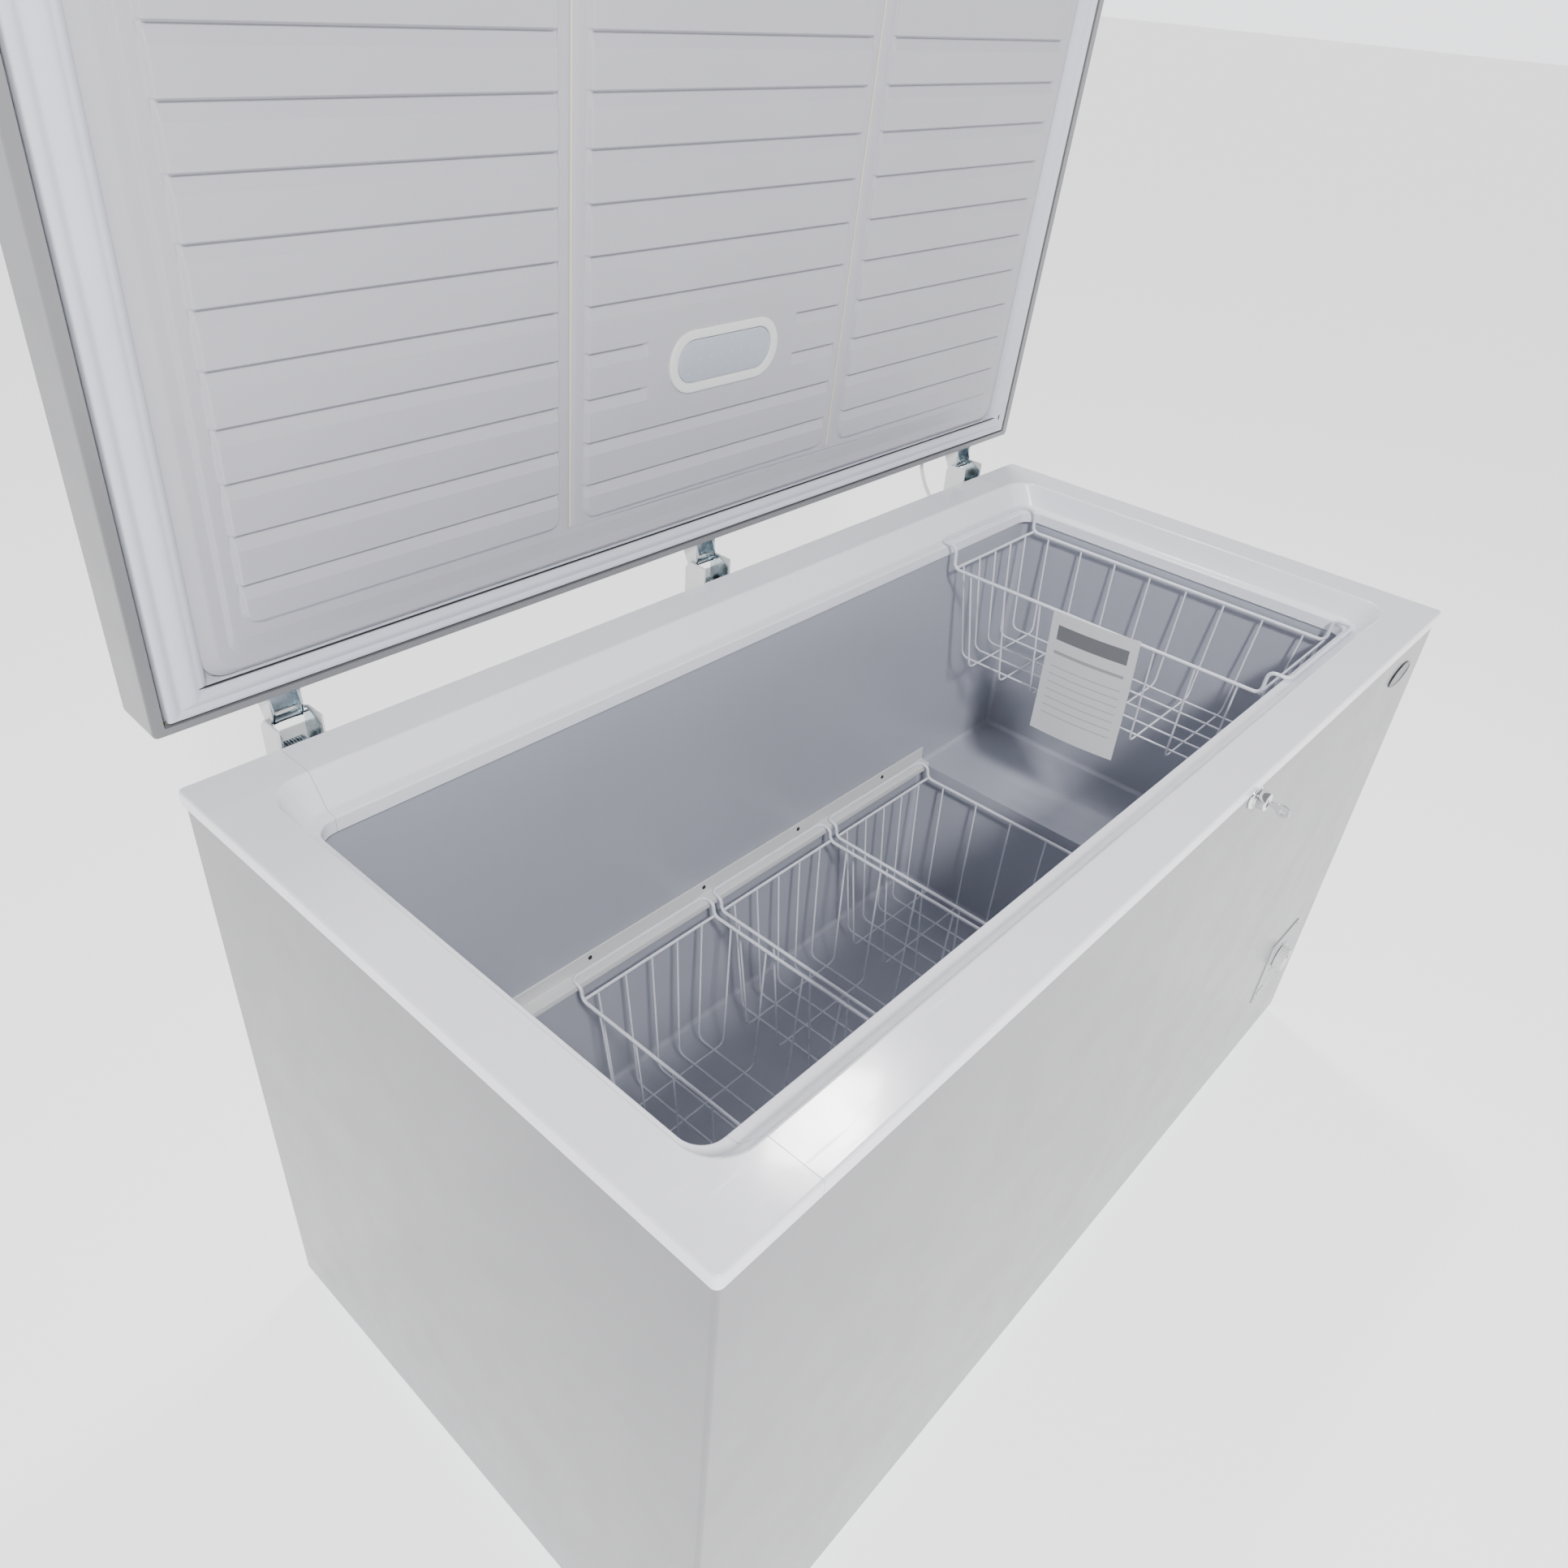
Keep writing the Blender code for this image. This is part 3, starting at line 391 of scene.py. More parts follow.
def make_materials(colours):
    grey = (0.42, 0.43, 0.44)
    black = (0.018, 0.018, 0.02)
    recipes = {
        "white_painted_steel": (painted_steel, colours.paint),
        "rear_steel": (painted_steel, (0.50, 0.50, 0.50)),
        "zinc_steel": (plated, colours.zinc, 0.24),
        "chrome": (plated, (0.78, 0.78, 0.80), 0.10, 0.06),
        "white_rim_plastic": (rim_plastic, colours.rim),
        "white_cover_plastic": (moulded_plastic, colours.cover, 0.34),
        "grey_plastic": (moulded_plastic, grey, 0.42, 700.0, 0.00006),
        "black_plastic": (moulded_plastic, black, 0.4, 700.0, 0.00006),
        "dark_lens": (moulded_plastic, (0.012, 0.02, 0.015), 0.12, 900.0, 0.00001, 0.5),
        "coated_liner": (coated_sheet, colours.liner),
        "lid_liner_plastic": (moulded_plastic, colours.panel, 0.36, 520.0, 0.00007),
        "soft_seal": (rubber, colours.seal),
        "rigid_foam": (foam, (0.80, 0.72, 0.45)),
        "frosted_lens": (lens, (0.40, 0.44, 0.50)),
        "coated_wire": (moulded_plastic, colours.wire, 0.3, 1200.0, 0.00003, 0.2),
        "copper": (plated, (0.72, 0.40, 0.28), 0.3, 0.2),
        "black_enamel": (moulded_plastic, (0.022, 0.022, 0.024), 0.3, 90.0, 0.0002),
        "card_paper": (card_paper,),
        "badge_pewter": (plated, (0.13, 0.135, 0.14), 0.3),
        # painted shade: a near-black fill that stands for the shade inside holes, slits and gaps
        "hole_black": (moulded_plastic, (0.01, 0.01, 0.012), 0.7),
    }
    for name, (maker, *values) in recipes.items():
        MATERIALS[name] = maker(name, *values)


def refinish(node, finish):
    """Gives a node of the frame its material; its mesh is left alone."""
    mesh = frame["nodes"][node].data
    mesh.materials.clear()
    mesh.materials.append(MATERIALS[finish])


# ---------------------------------------------------------------- drawing


def mesh_of(name, bm):
    mesh = bpy.data.meshes.new(name)
    bm.to_mesh(mesh)
    bm.free()
    return mesh


def linked(name, data):
    made = bpy.data.objects.new(name, data)
    bpy.context.scene.collection.objects.link(made)
    return made


def add(name, bm, finish, body, nodes=(), lid=False, smooth=38):
    """Places a mesh drawn in cabinet coordinates, gives it its finish and lets it ride."""
    mesh = mesh_of(name, bm)
    mesh.transform(SWING if lid else HOME)
    return dress(linked(name, mesh), finish, body, nodes, smooth)


def dress(made, finish, body, nodes=(), smooth=38):
    made.data.materials.clear()
    made.data.materials.append(MATERIALS[finish])
    if smooth:
        soften(made, smooth)
    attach(made, body)
    if nodes:
        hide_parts(*nodes)
    return made


def soften(made, angle):
    """Smooth shading up to an angle, with flat faces kept flat beside small roundings."""
    made.data.shade_smooth()
    made.data.set_sharp_from_angle(angle=math.radians(angle))
    even = made.modifiers.new("even", "WEIGHTED_NORMAL")
    even.keep_sharp = True


def plain_mesh(made):
    """A mesh of the object as its modifiers make it."""
    bpy.context.view_layer.update()
    return bpy.data.meshes.new_from_object(made.evaluated_get(bpy.context.evaluated_depsgraph_get()))


def thicken(made, thickness, angle=40, even=True):
    """Gives an open sheet a wall that grows against its face normals."""
    reach = max(max(abs(c) for c in v.co) for v in made.data.vertices) + 4 * thickness
    made.modifiers.clear()
    wall = made.modifiers.new("wall", "SOLIDIFY")
    wall.thickness = thickness
    wall.offset = -1
    wall.use_even_offset = even
    sheet = made.data
    made.data = plain_mesh(made)
    if max(max(abs(c) for c in v.co) for v in made.data.vertices) > reach:
        raise RuntimeError(f"{made.name}: the wall runs away from its sheet")
    bpy.data.meshes.remove(sheet)
    made.modifiers.clear()
    soften(made, angle)
    return made


def round_edges(bm, width, segments=2, angle=32):
    """Rounds every edge that turns by more than the angle."""
    bm.normal_update()
    limit = math.radians(angle)
    edges = [e for e in bm.edges if len(e.link_faces) == 2 and e.calc_face_angle(0) > limit]
    bmesh.ops.bevel(
        bm, geom=edges, offset=width, segments=segments, profile=0.5, affect="EDGES",
        clamp_overlap=True,
    )
    return bm


def box_mesh(low, high):
    bm = bmesh.new()
    bmesh.ops.create_cube(bm, size=1)
    low, high = Vector(low), Vector(high)
    bmesh.ops.scale(bm, vec=high - low, verts=bm.verts)
    bmesh.ops.translate(bm, vec=(low + high) / 2, verts=bm.verts)
    return bm


def prism_mesh(outline, start, end, axis="X"):
    """An outline swept from start to end. Along X it is given in (y, z), along Y in (x, z)."""

    def place(a, b, along):
        return {"X": (along, a, b), "Y": (a, along, b), "Z": (a, b, along)}[axis]

    bm = bmesh.new()
    face = bm.faces.new([bm.verts.new(place(a, b, start)) for a, b in outline])
    grown = bmesh.ops.extrude_face_region(bm, geom=[face])["geom"]
    moved = [item for item in grown if isinstance(item, bmesh.types.BMVert)]
    bmesh.ops.translate(bm, vec=place(0, 0, end - start), verts=moved)
    bmesh.ops.recalc_face_normals(bm, faces=bm.faces)
    return bm


def loft_mesh(rows, ring=False, cap_first=False, cap_last=False):
    bm = bmesh.new()
    grid = [[bm.verts.new(point) for point in row] for row in rows]
    count = len(grid[0])
    for lower, upper in zip(grid, grid[1:]):
        for i in range(count if ring else count - 1):
            j = (i + 1) % count
            bm.faces.new((lower[i], lower[j], upper[j], upper[i]))
    if cap_first:
        bm.faces.new(list(reversed(grid[0])))
    if cap_last:
        bm.faces.new(grid[-1])
    return bm


def outward(bm):
    bmesh.ops.recalc_face_normals(bm, faces=bm.faces)
    return bm


def face_up(bm, sign=1):
    """Turns an open surface so that it looks up, or down with sign -1."""
    bm.normal_update()
    if sign * sum(face.normal.z * face.calc_area() for face in bm.faces) < 0:
        bmesh.ops.reverse_faces(bm, faces=bm.faces)
    return bm


def rounded_loop(half_x, half_y, radius, z, centre=(0, 0), segments=6):
    points = []
    for quarter, (sx, sy) in enumerate(((1, 1), (-1, 1), (-1, -1), (1, -1))):
        for step in range(segments + 1):
            angle = math.radians(90 * quarter + 90 * step / segments)
            x = centre[0] + sx * (half_x - radius) + radius * math.cos(angle)
            y = centre[1] + sy * (half_y - radius) + radius * math.sin(angle)
            points.append(Vector((x, y, z)))
    return points


def fillet(points, radii, steps=4):
    """A flat line with its inner corners rounded. radii has one value for each inner corner."""
    line = [Vector(points[0])]
    for index in range(1, len(points) - 1):
        before, corner, after = (Vector(points[index + k]) for k in (-1, 0, 1))
        back, ahead = (before - corner).normalized(), (after - corner).normalized()
        half = back.angle(ahead) / 2
        radius = radii[index - 1]
        reach = radius / math.tan(half)
        centre = corner + (back + ahead).normalized() * (radius / math.sin(half))
        first, last = corner + back * reach - centre, corner + ahead * reach - centre
        turn = first.angle_signed(last)
        for step in range(steps + 1):
            angle = -turn * step / steps
            line.append(
                centre
                + Vector(
                    (
                        first.x * math.cos(angle) - first.y * math.sin(angle),
                        first.x * math.sin(angle) + first.y * math.cos(angle),
                    )
                )
            )
    line.append(Vector(points[-1]))
    return line


def lathe_mesh(profile, centre, axis, steps=32, ribs=0, rib_depth=0.0, rib_rows=()):
    """A profile of (radius, height) turned about an axis; chosen rows take a ribbed outline."""
    rows = []
    for index, (radius, height) in enumerate(profile):
        row = []
        for step in range(steps):
            angle = 2 * math.pi * step / steps
            r = radius
            if index in rib_rows:
                r -= rib_depth * (0.5 + 0.5 * math.cos(ribs * angle)) ** 3
            row.append(Vector((r * math.cos(angle), r * math.sin(angle), height)))
        rows.append(row)
    bm = loft_mesh(rows, ring=True)
    bmesh.ops.remove_doubles(bm, verts=bm.verts, dist=1e-6)
    bmesh.ops.dissolve_degenerate(bm, edges=bm.edges, dist=1e-7)
    outward(bm)
    turn = Vector((0, 0, 1)).rotation_difference(Vector(axis)).to_matrix().to_4x4()
    bmesh.ops.transform(bm, matrix=Matrix.Translation(centre) @ turn, verts=bm.verts)
    return bm


def plug_mesh(radius, high, low, centre, axis, steps):
    """A plain cylinder between two heights along an axis."""
    return lathe_mesh([(0, high), (radius, high), (radius, low), (0, low)], centre, axis, steps)


def section(points, radii, steps):
    """The rounded outline of a prism. The points end where they start."""
    return [(p.x, p.y) for p in fillet(points, radii, steps)[:-1]]


def middle_of(low, high):
    return (low + high) / 2


def join_meshes(*meshes):
    """Several closed shapes as one mesh of separate shells."""
    joined = bmesh.new()
    for bm in meshes:
        scratch = mesh_of("scratch", bm)
        joined.from_mesh(scratch)
        bpy.data.meshes.remove(scratch)
    return joined


def carved(bm, cutters, operation="DIFFERENCE"):
    """The mesh after a Boolean with each cutter."""
    base = linked("scratch", mesh_of("scratch", bm))
    tools = [linked("scratch", mesh_of("scratch", tool)) for tool in cutters]
    for tool in tools:
        cut = base.modifiers.new("cut", "BOOLEAN")
        cut.object = tool
        cut.operation = operation
        cut.solver = "EXACT"
    mesh = plain_mesh(base)
    result = bmesh.new()
    result.from_mesh(mesh)
    bpy.data.meshes.remove(mesh)
    for made in (base, *tools):
        old = made.data
        bpy.data.objects.remove(made)
        bpy.data.meshes.remove(old)
    return result


# ---------------------------------------------------------------- geometry nodes


def tree_with(name, inputs):
    """An empty geometry tree with named inputs, and its group nodes."""
    tree = bpy.data.node_groups.new(name, "GeometryNodeTree")
    face = tree.interface
    face.new_socket("Geometry", in_out="INPUT", socket_type="NodeSocketGeometry")
    for label, kind, value in inputs:
        made = face.new_socket(label, in_out="INPUT", socket_type=kind)
        if value is not None:
            made.default_value = value
    face.new_socket("Geometry", in_out="OUTPUT", socket_type="NodeSocketGeometry")
    return tree, tree.nodes.new("NodeGroupInput"), tree.nodes.new("NodeGroupOutput")


def chain(tree, kind, inputs, **settings):
    """Adds a node to a geometry tree; an input is a value or another node's socket."""
    made = tree.nodes.new(kind)
    for key, value in settings.items():
        setattr(made, key, value)
    for key, value in inputs.items():
        if isinstance(value, bpy.types.NodeSocket):
            tree.links.new(value, made.inputs[key])
        else:
            made.inputs[key].default_value = value
    return made


def closed_tree(tree, geometry, finish, end):
    """Ends a tree in Realize Instances and Set Material."""
    real = chain(tree, "GeometryNodeRealizeInstances", {"Geometry": geometry})
    named = chain(
        tree, "GeometryNodeSetMaterial", {"Geometry": real.outputs[0], "Material": finish}
    )
    tree.links.new(named.outputs[0], end.inputs["Geometry"])
    return tree


def wire_tree():
    """Bends a poly line's corners, gives it a round section and a finish."""
    tree, start, end = tree_with(
        "bent_wire",
        (
            ("Radius", "NodeSocketFloat", 0.002), ("Bend", "NodeSocketFloat", 0.01),
            ("Sides", "NodeSocketInt", 8), ("Finish", "NodeSocketMaterial", None),
        ),
    )
    out = start.outputs
    inputs = {"Curve": out["Geometry"], "Radius": out["Bend"], "Limit Radius": True}
    bent = chain(tree, "GeometryNodeFilletCurve", inputs, mode="POLY")
    bent.inputs["Count"].default_value = 4
    inputs = {"Resolution": out["Sides"], "Radius": out["Radius"]}
    circle = chain(tree, "GeometryNodeCurvePrimitiveCircle", inputs)
    inputs = {
        "Curve": bent.outputs[0], "Profile Curve": circle.outputs["Curve"], "Fill Caps": True
    }
    tube = chain(tree, "GeometryNodeCurveToMesh", inputs)
    return closed_tree(tree, tube.outputs[0], out["Finish"], end)


def repeat_tree():
    """Puts a copy of an object on each point, turned by the point's own angles."""
    tree, start, end = tree_with(
        "repeat_on_points",
        (
            ("Piece", "NodeSocketObject", None), ("Scale", "NodeSocketFloat", 1.0),
            ("Finish", "NodeSocketMaterial", None),
        ),
    )
    out = start.outputs
    piece = chain(tree, "GeometryNodeObjectInfo", {"Object": out["Piece"]})
    turn = chain(
        tree, "GeometryNodeInputNamedAttribute", {"Name": "turn"}, data_type="FLOAT_VECTOR"
    )
    angles = chain(tree, "FunctionNodeEulerToRotation", {0: turn.outputs["Attribute"]})
    inputs = {
        "Points": out["Geometry"], "Instance": piece.outputs["Geometry"],
        "Rotation": angles.outputs[0], "Scale": out["Scale"],
    }
    copies = chain(tree, "GeometryNodeInstanceOnPoints", inputs)
    return closed_tree(tree, copies.outputs[0], out["Finish"], end)


TREES = {}


def grow(carrier, tree_name, values, matrix):
    """Runs a tree on a carrier object and returns the plain mesh, moved by the matrix."""
    makers = {"bent_wire": wire_tree, "repeat_on_points": repeat_tree}
    tree = TREES.get(tree_name) or makers[tree_name]()
    TREES[tree_name] = tree
    bpy.context.scene.collection.objects.link(carrier)
    modifier = carrier.modifiers.new(tree_name, "NODES")
    modifier.node_group = tree
    sockets = {
        item.name: item.identifier
        for item in tree.interface.items_tree
        if item.item_type == "SOCKET" and item.in_out == "INPUT"
    }
    for label, value in values.items():
        modifier[sockets[label]] = value
    mesh = plain_mesh(carrier)
    mesh.transform(matrix)
    carrier.modifiers.remove(modifier)
    data = carrier.data
    bpy.data.objects.remove(carrier)
    bpy.data.batch_remove([data])
    return mesh


def wires(name, routes, radius, bend, finish, body, nodes=(), lid=False, sides=8):
    """Round wires along poly lines. A route is (points, closed)."""
    curve = bpy.data.curves.new(name + "_route", "CURVE")
    curve.dimensions = "3D"
    for points, closed in routes:
        spline = curve.splines.new("POLY")
        spline.points.add(len(points) - 1)
        spline.use_cyclic_u = closed
        for spot, point in zip(spline.points, points):
            spot.co = (*point, 1)
    carrier = bpy.data.objects.new(name + "_route", curve)
    values = {"Radius": radius, "Bend": bend, "Sides": sides, "Finish": MATERIALS[finish]}
    mesh = grow(carrier, "bent_wire", values, SWING if lid else HOME)
    mesh.name = name
    return dress(linked(name, mesh), finish, body, nodes, 50)


def repeated(name, template, places, finish, body, nodes=(), lid=False, smooth=38):
    """Copies of a small shape, one on each (point, turn)."""
    shape = mesh_of("template", template)
    piece = linked("template", shape)
    points = bpy.data.meshes.new(name + "_points")
    points.from_pydata([tuple(point) for point, _ in places], [], [])
    turn = points.attributes.new("turn", "FLOAT_VECTOR", "POINT")
    for item, (_, angles) in zip(turn.data, places):
        item.vector = angles
    carrier = bpy.data.objects.new(name + "_points", points)
    values = {"Piece": piece, "Scale": 1.0, "Finish": MATERIALS[finish]}
    mesh = grow(carrier, "repeat_on_points", values, SWING if lid else HOME)
    mesh.name = name
    bpy.data.objects.remove(piece)
    bpy.data.meshes.remove(shape)
    return dress(linked(name, mesh), finish, body, nodes, smooth)


def screw_head(radius=0.0042, height=0.0022, recess=0.0011):
    """A pan head along +Z with a cross recess, its seat at the origin."""
    profile = [(0, height), (radius * 0.55, height * 0.96), (radius * 0.85, height * 0.7)]
    profile += [(radius, height * 0.25), (radius, 0), (0, 0)]
    head = lathe_mesh(profile, (0, 0, 0), (0, 0, 1), 16)
    arm, wide = radius * 0.55, radius * 0.13
    low, high = height - recess, height + 0.001
    bars = [
        box_mesh((-arm, -wide, low), (arm, wide, high)),
        box_mesh((-wide, -arm, low), (wide, arm, high)),
    ]
    return carved(head, bars)


# ---------------------------------------------------------------- cabinet shell


def make_cabinet(sizes):
    """Painted sheet folded round the front and sides, with its two openings."""
    low, high = place_of("outer_wrapper")
    half_x, front, back = high.x, low.y, high.y
    radius = 0.005
    path = [(-half_x, back)]
    for sx, start in ((-1, 180), (1, 270)):
        for step in range(9):
            angle = math.radians(start + 90 * step / 8)
            x = sx * (half_x - radius) + radius * math.cos(angle)
            path.append((x, front + radius + radius * math.sin(angle)))
    path.append((half_x, back))
    inner = [(x * (1 - 0.001 / half_x), y + (0.001 if y < 0 else 0)) for x, y in reversed(path)]
    outline = path + inner
    sheet = prism_mesh(outline, low.z, high.z, "Z")
    cutters = [
        box_mesh((half_x - 0.015, 0.020, 0.055), (half_x + 0.01, 0.300, 0.245)),
        box_mesh((0.5345, front - 0.01, 0.1395), (0.6355, front + 0.01, 0.2605)),
    ]
    wrap = carved(sheet, cutters)
    add("cabinet_wrap", wrap, "white_painted_steel", "cabinet", ["outer_wrapper"], smooth=30)
    hem = []
    for side in (-1, 1):
        x = side * (half_x - 0.0035)
        near, far = (x - 0.0025, front + 0.006, low.z - 0.0003), (x + 0.0025, back - 0.004, low.z + 0.0012)
        hem.append(box_mesh(near, far))
    add("wrap_hems", join_meshes(*hem), "white_painted_steel", "cabinet", smooth=0)


def make_rear(sizes):
    """Rear panel with pressed stiffening ribs, screws down its edges and a plug over the foam port."""
    low, high = place_of("rear_panel")
    panel = box_mesh((low.x, low.y, low.z), (high.x, high.y - 0.0002, high.z))
    add("rear_sheet", panel, "rear_steel", "cabinet", ["rear_panel"], smooth=0)
    ribs = []
    for row in range(4):
        z = 0.16 + 0.135 * row
        rib = box_mesh((low.x + 0.12, high.y - 0.0006, z), (high.x - 0.12, high.y + 0.0022, z + 0.014))
        ribs.append(round_edges(rib, 0.0018, 3))
    add("rear_ribs", join_meshes(*ribs), "rear_steel", "cabinet", smooth=50)
    spots = [(side * (high.x - 0.012), 0.06 + 0.165 * row) for side in (-1, 1) for row in range(5)]
    spots += [(-0.6 + 0.24 * column, 0.034) for column in range(6)]
    places = [((x, high.y - 0.0002, z), (-math.pi / 2, 0, 0)) for x, z in spots]
    repeated("rear_screws", screw_head(), places, "zinc_steel", "cabinet")
    profile = [(0, 0.003), (0.014, 0.0028), (0.017, 0.0015), (0.0175, 0), (0, 0)]
    cap = lathe_mesh(profile, (-0.2, high.y, 0.10), (0, 1, 0))
    add("foam_port_cap", cap, "white_cover_plastic", "cabinet")


# ---------------------------------------------------------------- rim

SEAM_X = 0.611
RIM_FLAT = 0.055
RIM_SLOPE = 0.0145  # how much further the front and rear reach inwards at the ledge
LEDGE = RIM_TOP - 0.0325
INNER_CORNER = 0.038
MOULDING_WALL = 0.0025


def rim_profile(edge):
    """Rows of (inset at the ends, inset at the front and rear, height, corner radius)."""
    skirt = RIM_TOP - 0.015
    outer = fillet([(0, skirt), (0, RIM_TOP), (0.010, RIM_TOP)], [edge], 5)[:-1]
    inner = [(-0.010, RIM_TOP), (0, RIM_TOP), (0.0095, LEDGE)]
    inner += [(0.0235, LEDGE - 0.002), (0.0235, RIM_TOP - 0.051)]
    inner = fillet(inner, [0.003, 0.004, 0.0025], 4)[1:]
    rows = [(p.x, p.x, p.y, 0.0065 - min(p.x, 0.003) * 0.6) for p in outer]
    for p in inner:
        slope = RIM_SLOPE * min(1, (RIM_TOP - p.y) / (RIM_TOP - LEDGE))
        radius = INNER_CORNER - max(p.x, -0.002) * 0.6
        rows.append((RIM_FLAT + p.x, RIM_FLAT + slope + p.x, p.y, radius))
    return rows


def rim_row(side, inset_x, inset_y, z, radius):
    half_x = HALF_X - inset_x
    half_y = HALF_Y - inset_y
    row = [Vector((side * (SEAM_X + 0.00045), -half_y, z))]
    for start, sy in ((270, -1), (0, 1)):
        for step in range(13):
            angle = math.radians(start + 7.5 * step)
            x = half_x - radius + radius * math.cos(angle)
            row.append(Vector((side * x, sy * (half_y - radius) + radius * math.sin(angle), z)))
    row.append(Vector((side * (SEAM_X + 0.00045), half_y, z)))
    return row


def add_moulding(name, bm, node):
    made = add(f"rim_moulding_{name}", bm, "white_rim_plastic", "cabinet", [node], smooth=42)
    thicken(made, MOULDING_WALL)


def make_rim(sizes):
    """Two U-shaped end mouldings and two straight ones between them."""
    profile = rim_profile(sizes.edge_radius)
    for side, name in ((-1, "left"), (1, "right")):
        bm = face_up(loft_mesh([rim_row(side, *row) for row in profile]))
        add_moulding(name, bm, f"rim_end_{name}")
    for side, name in ((-1, "front"), (1, "rear")):
        rows = []
        for _, inset, z, _ in profile:
            y = side * (HALF_Y - inset)
            rows.append([Vector((x, y, z)) for x in (-SEAM_X + 0.0002, SEAM_X - 0.0002)])
        bm = face_up(loft_mesh(rows))
        add_moulding(name, bm, f"rim_{name}")


# ---------------------------------------------------------------- tub, rails, drain

STEP_X = 0.440
STEP_Z = 0.335
CLOSE = 1e-5  # distance under which two heights count as one
SCREW_LINE = (-0.512, -0.301, -0.090, 0.114, 0.324)


def make_tub(sizes):
    """Folded tub with rounded bends, stepped up over the machine compartment, and its drain."""
    low, high = place_of("inner_liner")
    x, y, floor, top = high.x - 0.001, high.y - 0.001, low.z + 0.001, high.z
    outline = [(-x, top), (-x, floor), (STEP_X, floor), (STEP_X, STEP_Z), (x, STEP_Z), (x, top)]
    bm = prism_mesh(outline, -y, y, "Y")

    def on_brink(vert):
        return (vert.co - Vector((STEP_X, vert.co.y, STEP_Z))).length < CLOSE

    brink = [e for e in bm.edges if all(on_brink(v) for v in e.verts)]
    open_top = [e for e in bm.edges if all(v.co.z > top - CLOSE for v in e.verts)]
    edges = [e for e in bm.edges if e not in brink and e not in open_top]
    bmesh.ops.bevel(bm, geom=edges, offset=0.008, segments=5, profile=0.5, affect="EDGES")
    middle = middle_of(*place_of("drain_plug"))
    place = (middle.x, middle.y, 0)
    hole = plug_mesh(0.0092, floor + 0.02, floor - 0.0012, place, (0, 0, 1), 40)
    bm = carved(bm, [hole], "UNION")

    def at_end(vert):
        return vert.co.z > top - CLOSE or vert.co.z < floor - 0.001

    ends = [f for f in bm.faces if all(at_end(v) for v in f.verts)]
    bmesh.ops.delete(bm, geom=ends, context="FACES")
    bmesh.ops.reverse_faces(bm, faces=bm.faces)
    made = add("tub", bm, "coated_liner", "cabinet", ["inner_liner"], smooth=40)
    thicken(made, 0.0009)


def rail_routes(side):
    """Section of a rail: a low upright against the wall and a rounded shelf, in (y, z)."""
    near, far = 0.2686, 0.2490
    points = [
        (near, 0.314), (near, 0.368), (near - 0.0022, 0.368), (near - 0.0028, 0.3455),
        (far, 0.3450), (far - 0.0005, 0.3340), (far + 0.0045, 0.3330),
    ]
    line = fillet(points, [0.0004, 0.0009, 0.0016, 0.003, 0.002], 3)
    return [(side * p.x, p.y) for p in line]


def make_rails(sizes):
    """Basket rails on the front and rear walls, with dark screws in their uprights."""
    for side, name in ((1, "rear"), (-1, "front")):
        low, high = place_of(f"basket_rail_{name}")
        rows = [[Vector((x, y, z)) for x in (low.x, high.x)] for y, z in rail_routes(side)]
        bm, node = face_up(loft_mesh(rows)), f"basket_rail_{name}"
        thicken(add(f"rail_{name}", bm, "white_cover_plastic", "cabinet", [node]), 0.0014)
        face = side * 0.2662
        places = [((x, face, 0.3585), (side * math.pi / 2, 0, 0)) for x in SCREW_LINE]
        head = screw_head(0.0033, 0.0018, 0.0008)
        repeated(f"rail_screws_{name}", head, places, "black_plastic", "cabinet")


def make_drain(sizes):
    """Drain plug with a moulded pull tab."""
    low, high = place_of("drain_plug")
    x, y, _ = middle_of(low, high)
    profile = [
        (0, high.z - 0.0012), (0.0085, high.z - 0.0012), (0.0095, high.z), (0.0128, high.z),
        (0.0145, high.z - 0.0016), (0.0145, high.z - 0.0045), (0.0078, high.z - 0.0046),
        (0.0076, low.z + 0.004), (0.0066, low.z), (0, low.z),
    ]
    plug = lathe_mesh(profile, (x, y, 0), (0, 0, 1), 36)
    tab = box_mesh((x - 0.0065, y - 0.0011, high.z - 0.0013), (x + 0.0065, y + 0.0011, high.z))
    tab = round_edges(tab, 0.0005, 2)
    add("drain_stopper", join_meshes(plug, tab), "white_cover_plastic", "drain_plug", ["drain_plug"])


# ---------------------------------------------------------------- baskets


GRID_BEND = 0.012


def even_shares(count):
    """Evenly spread places between -1 and 1, half a step in from the ends."""
    return [(index + 0.5) / count * 2 - 1 for index in range(count)]


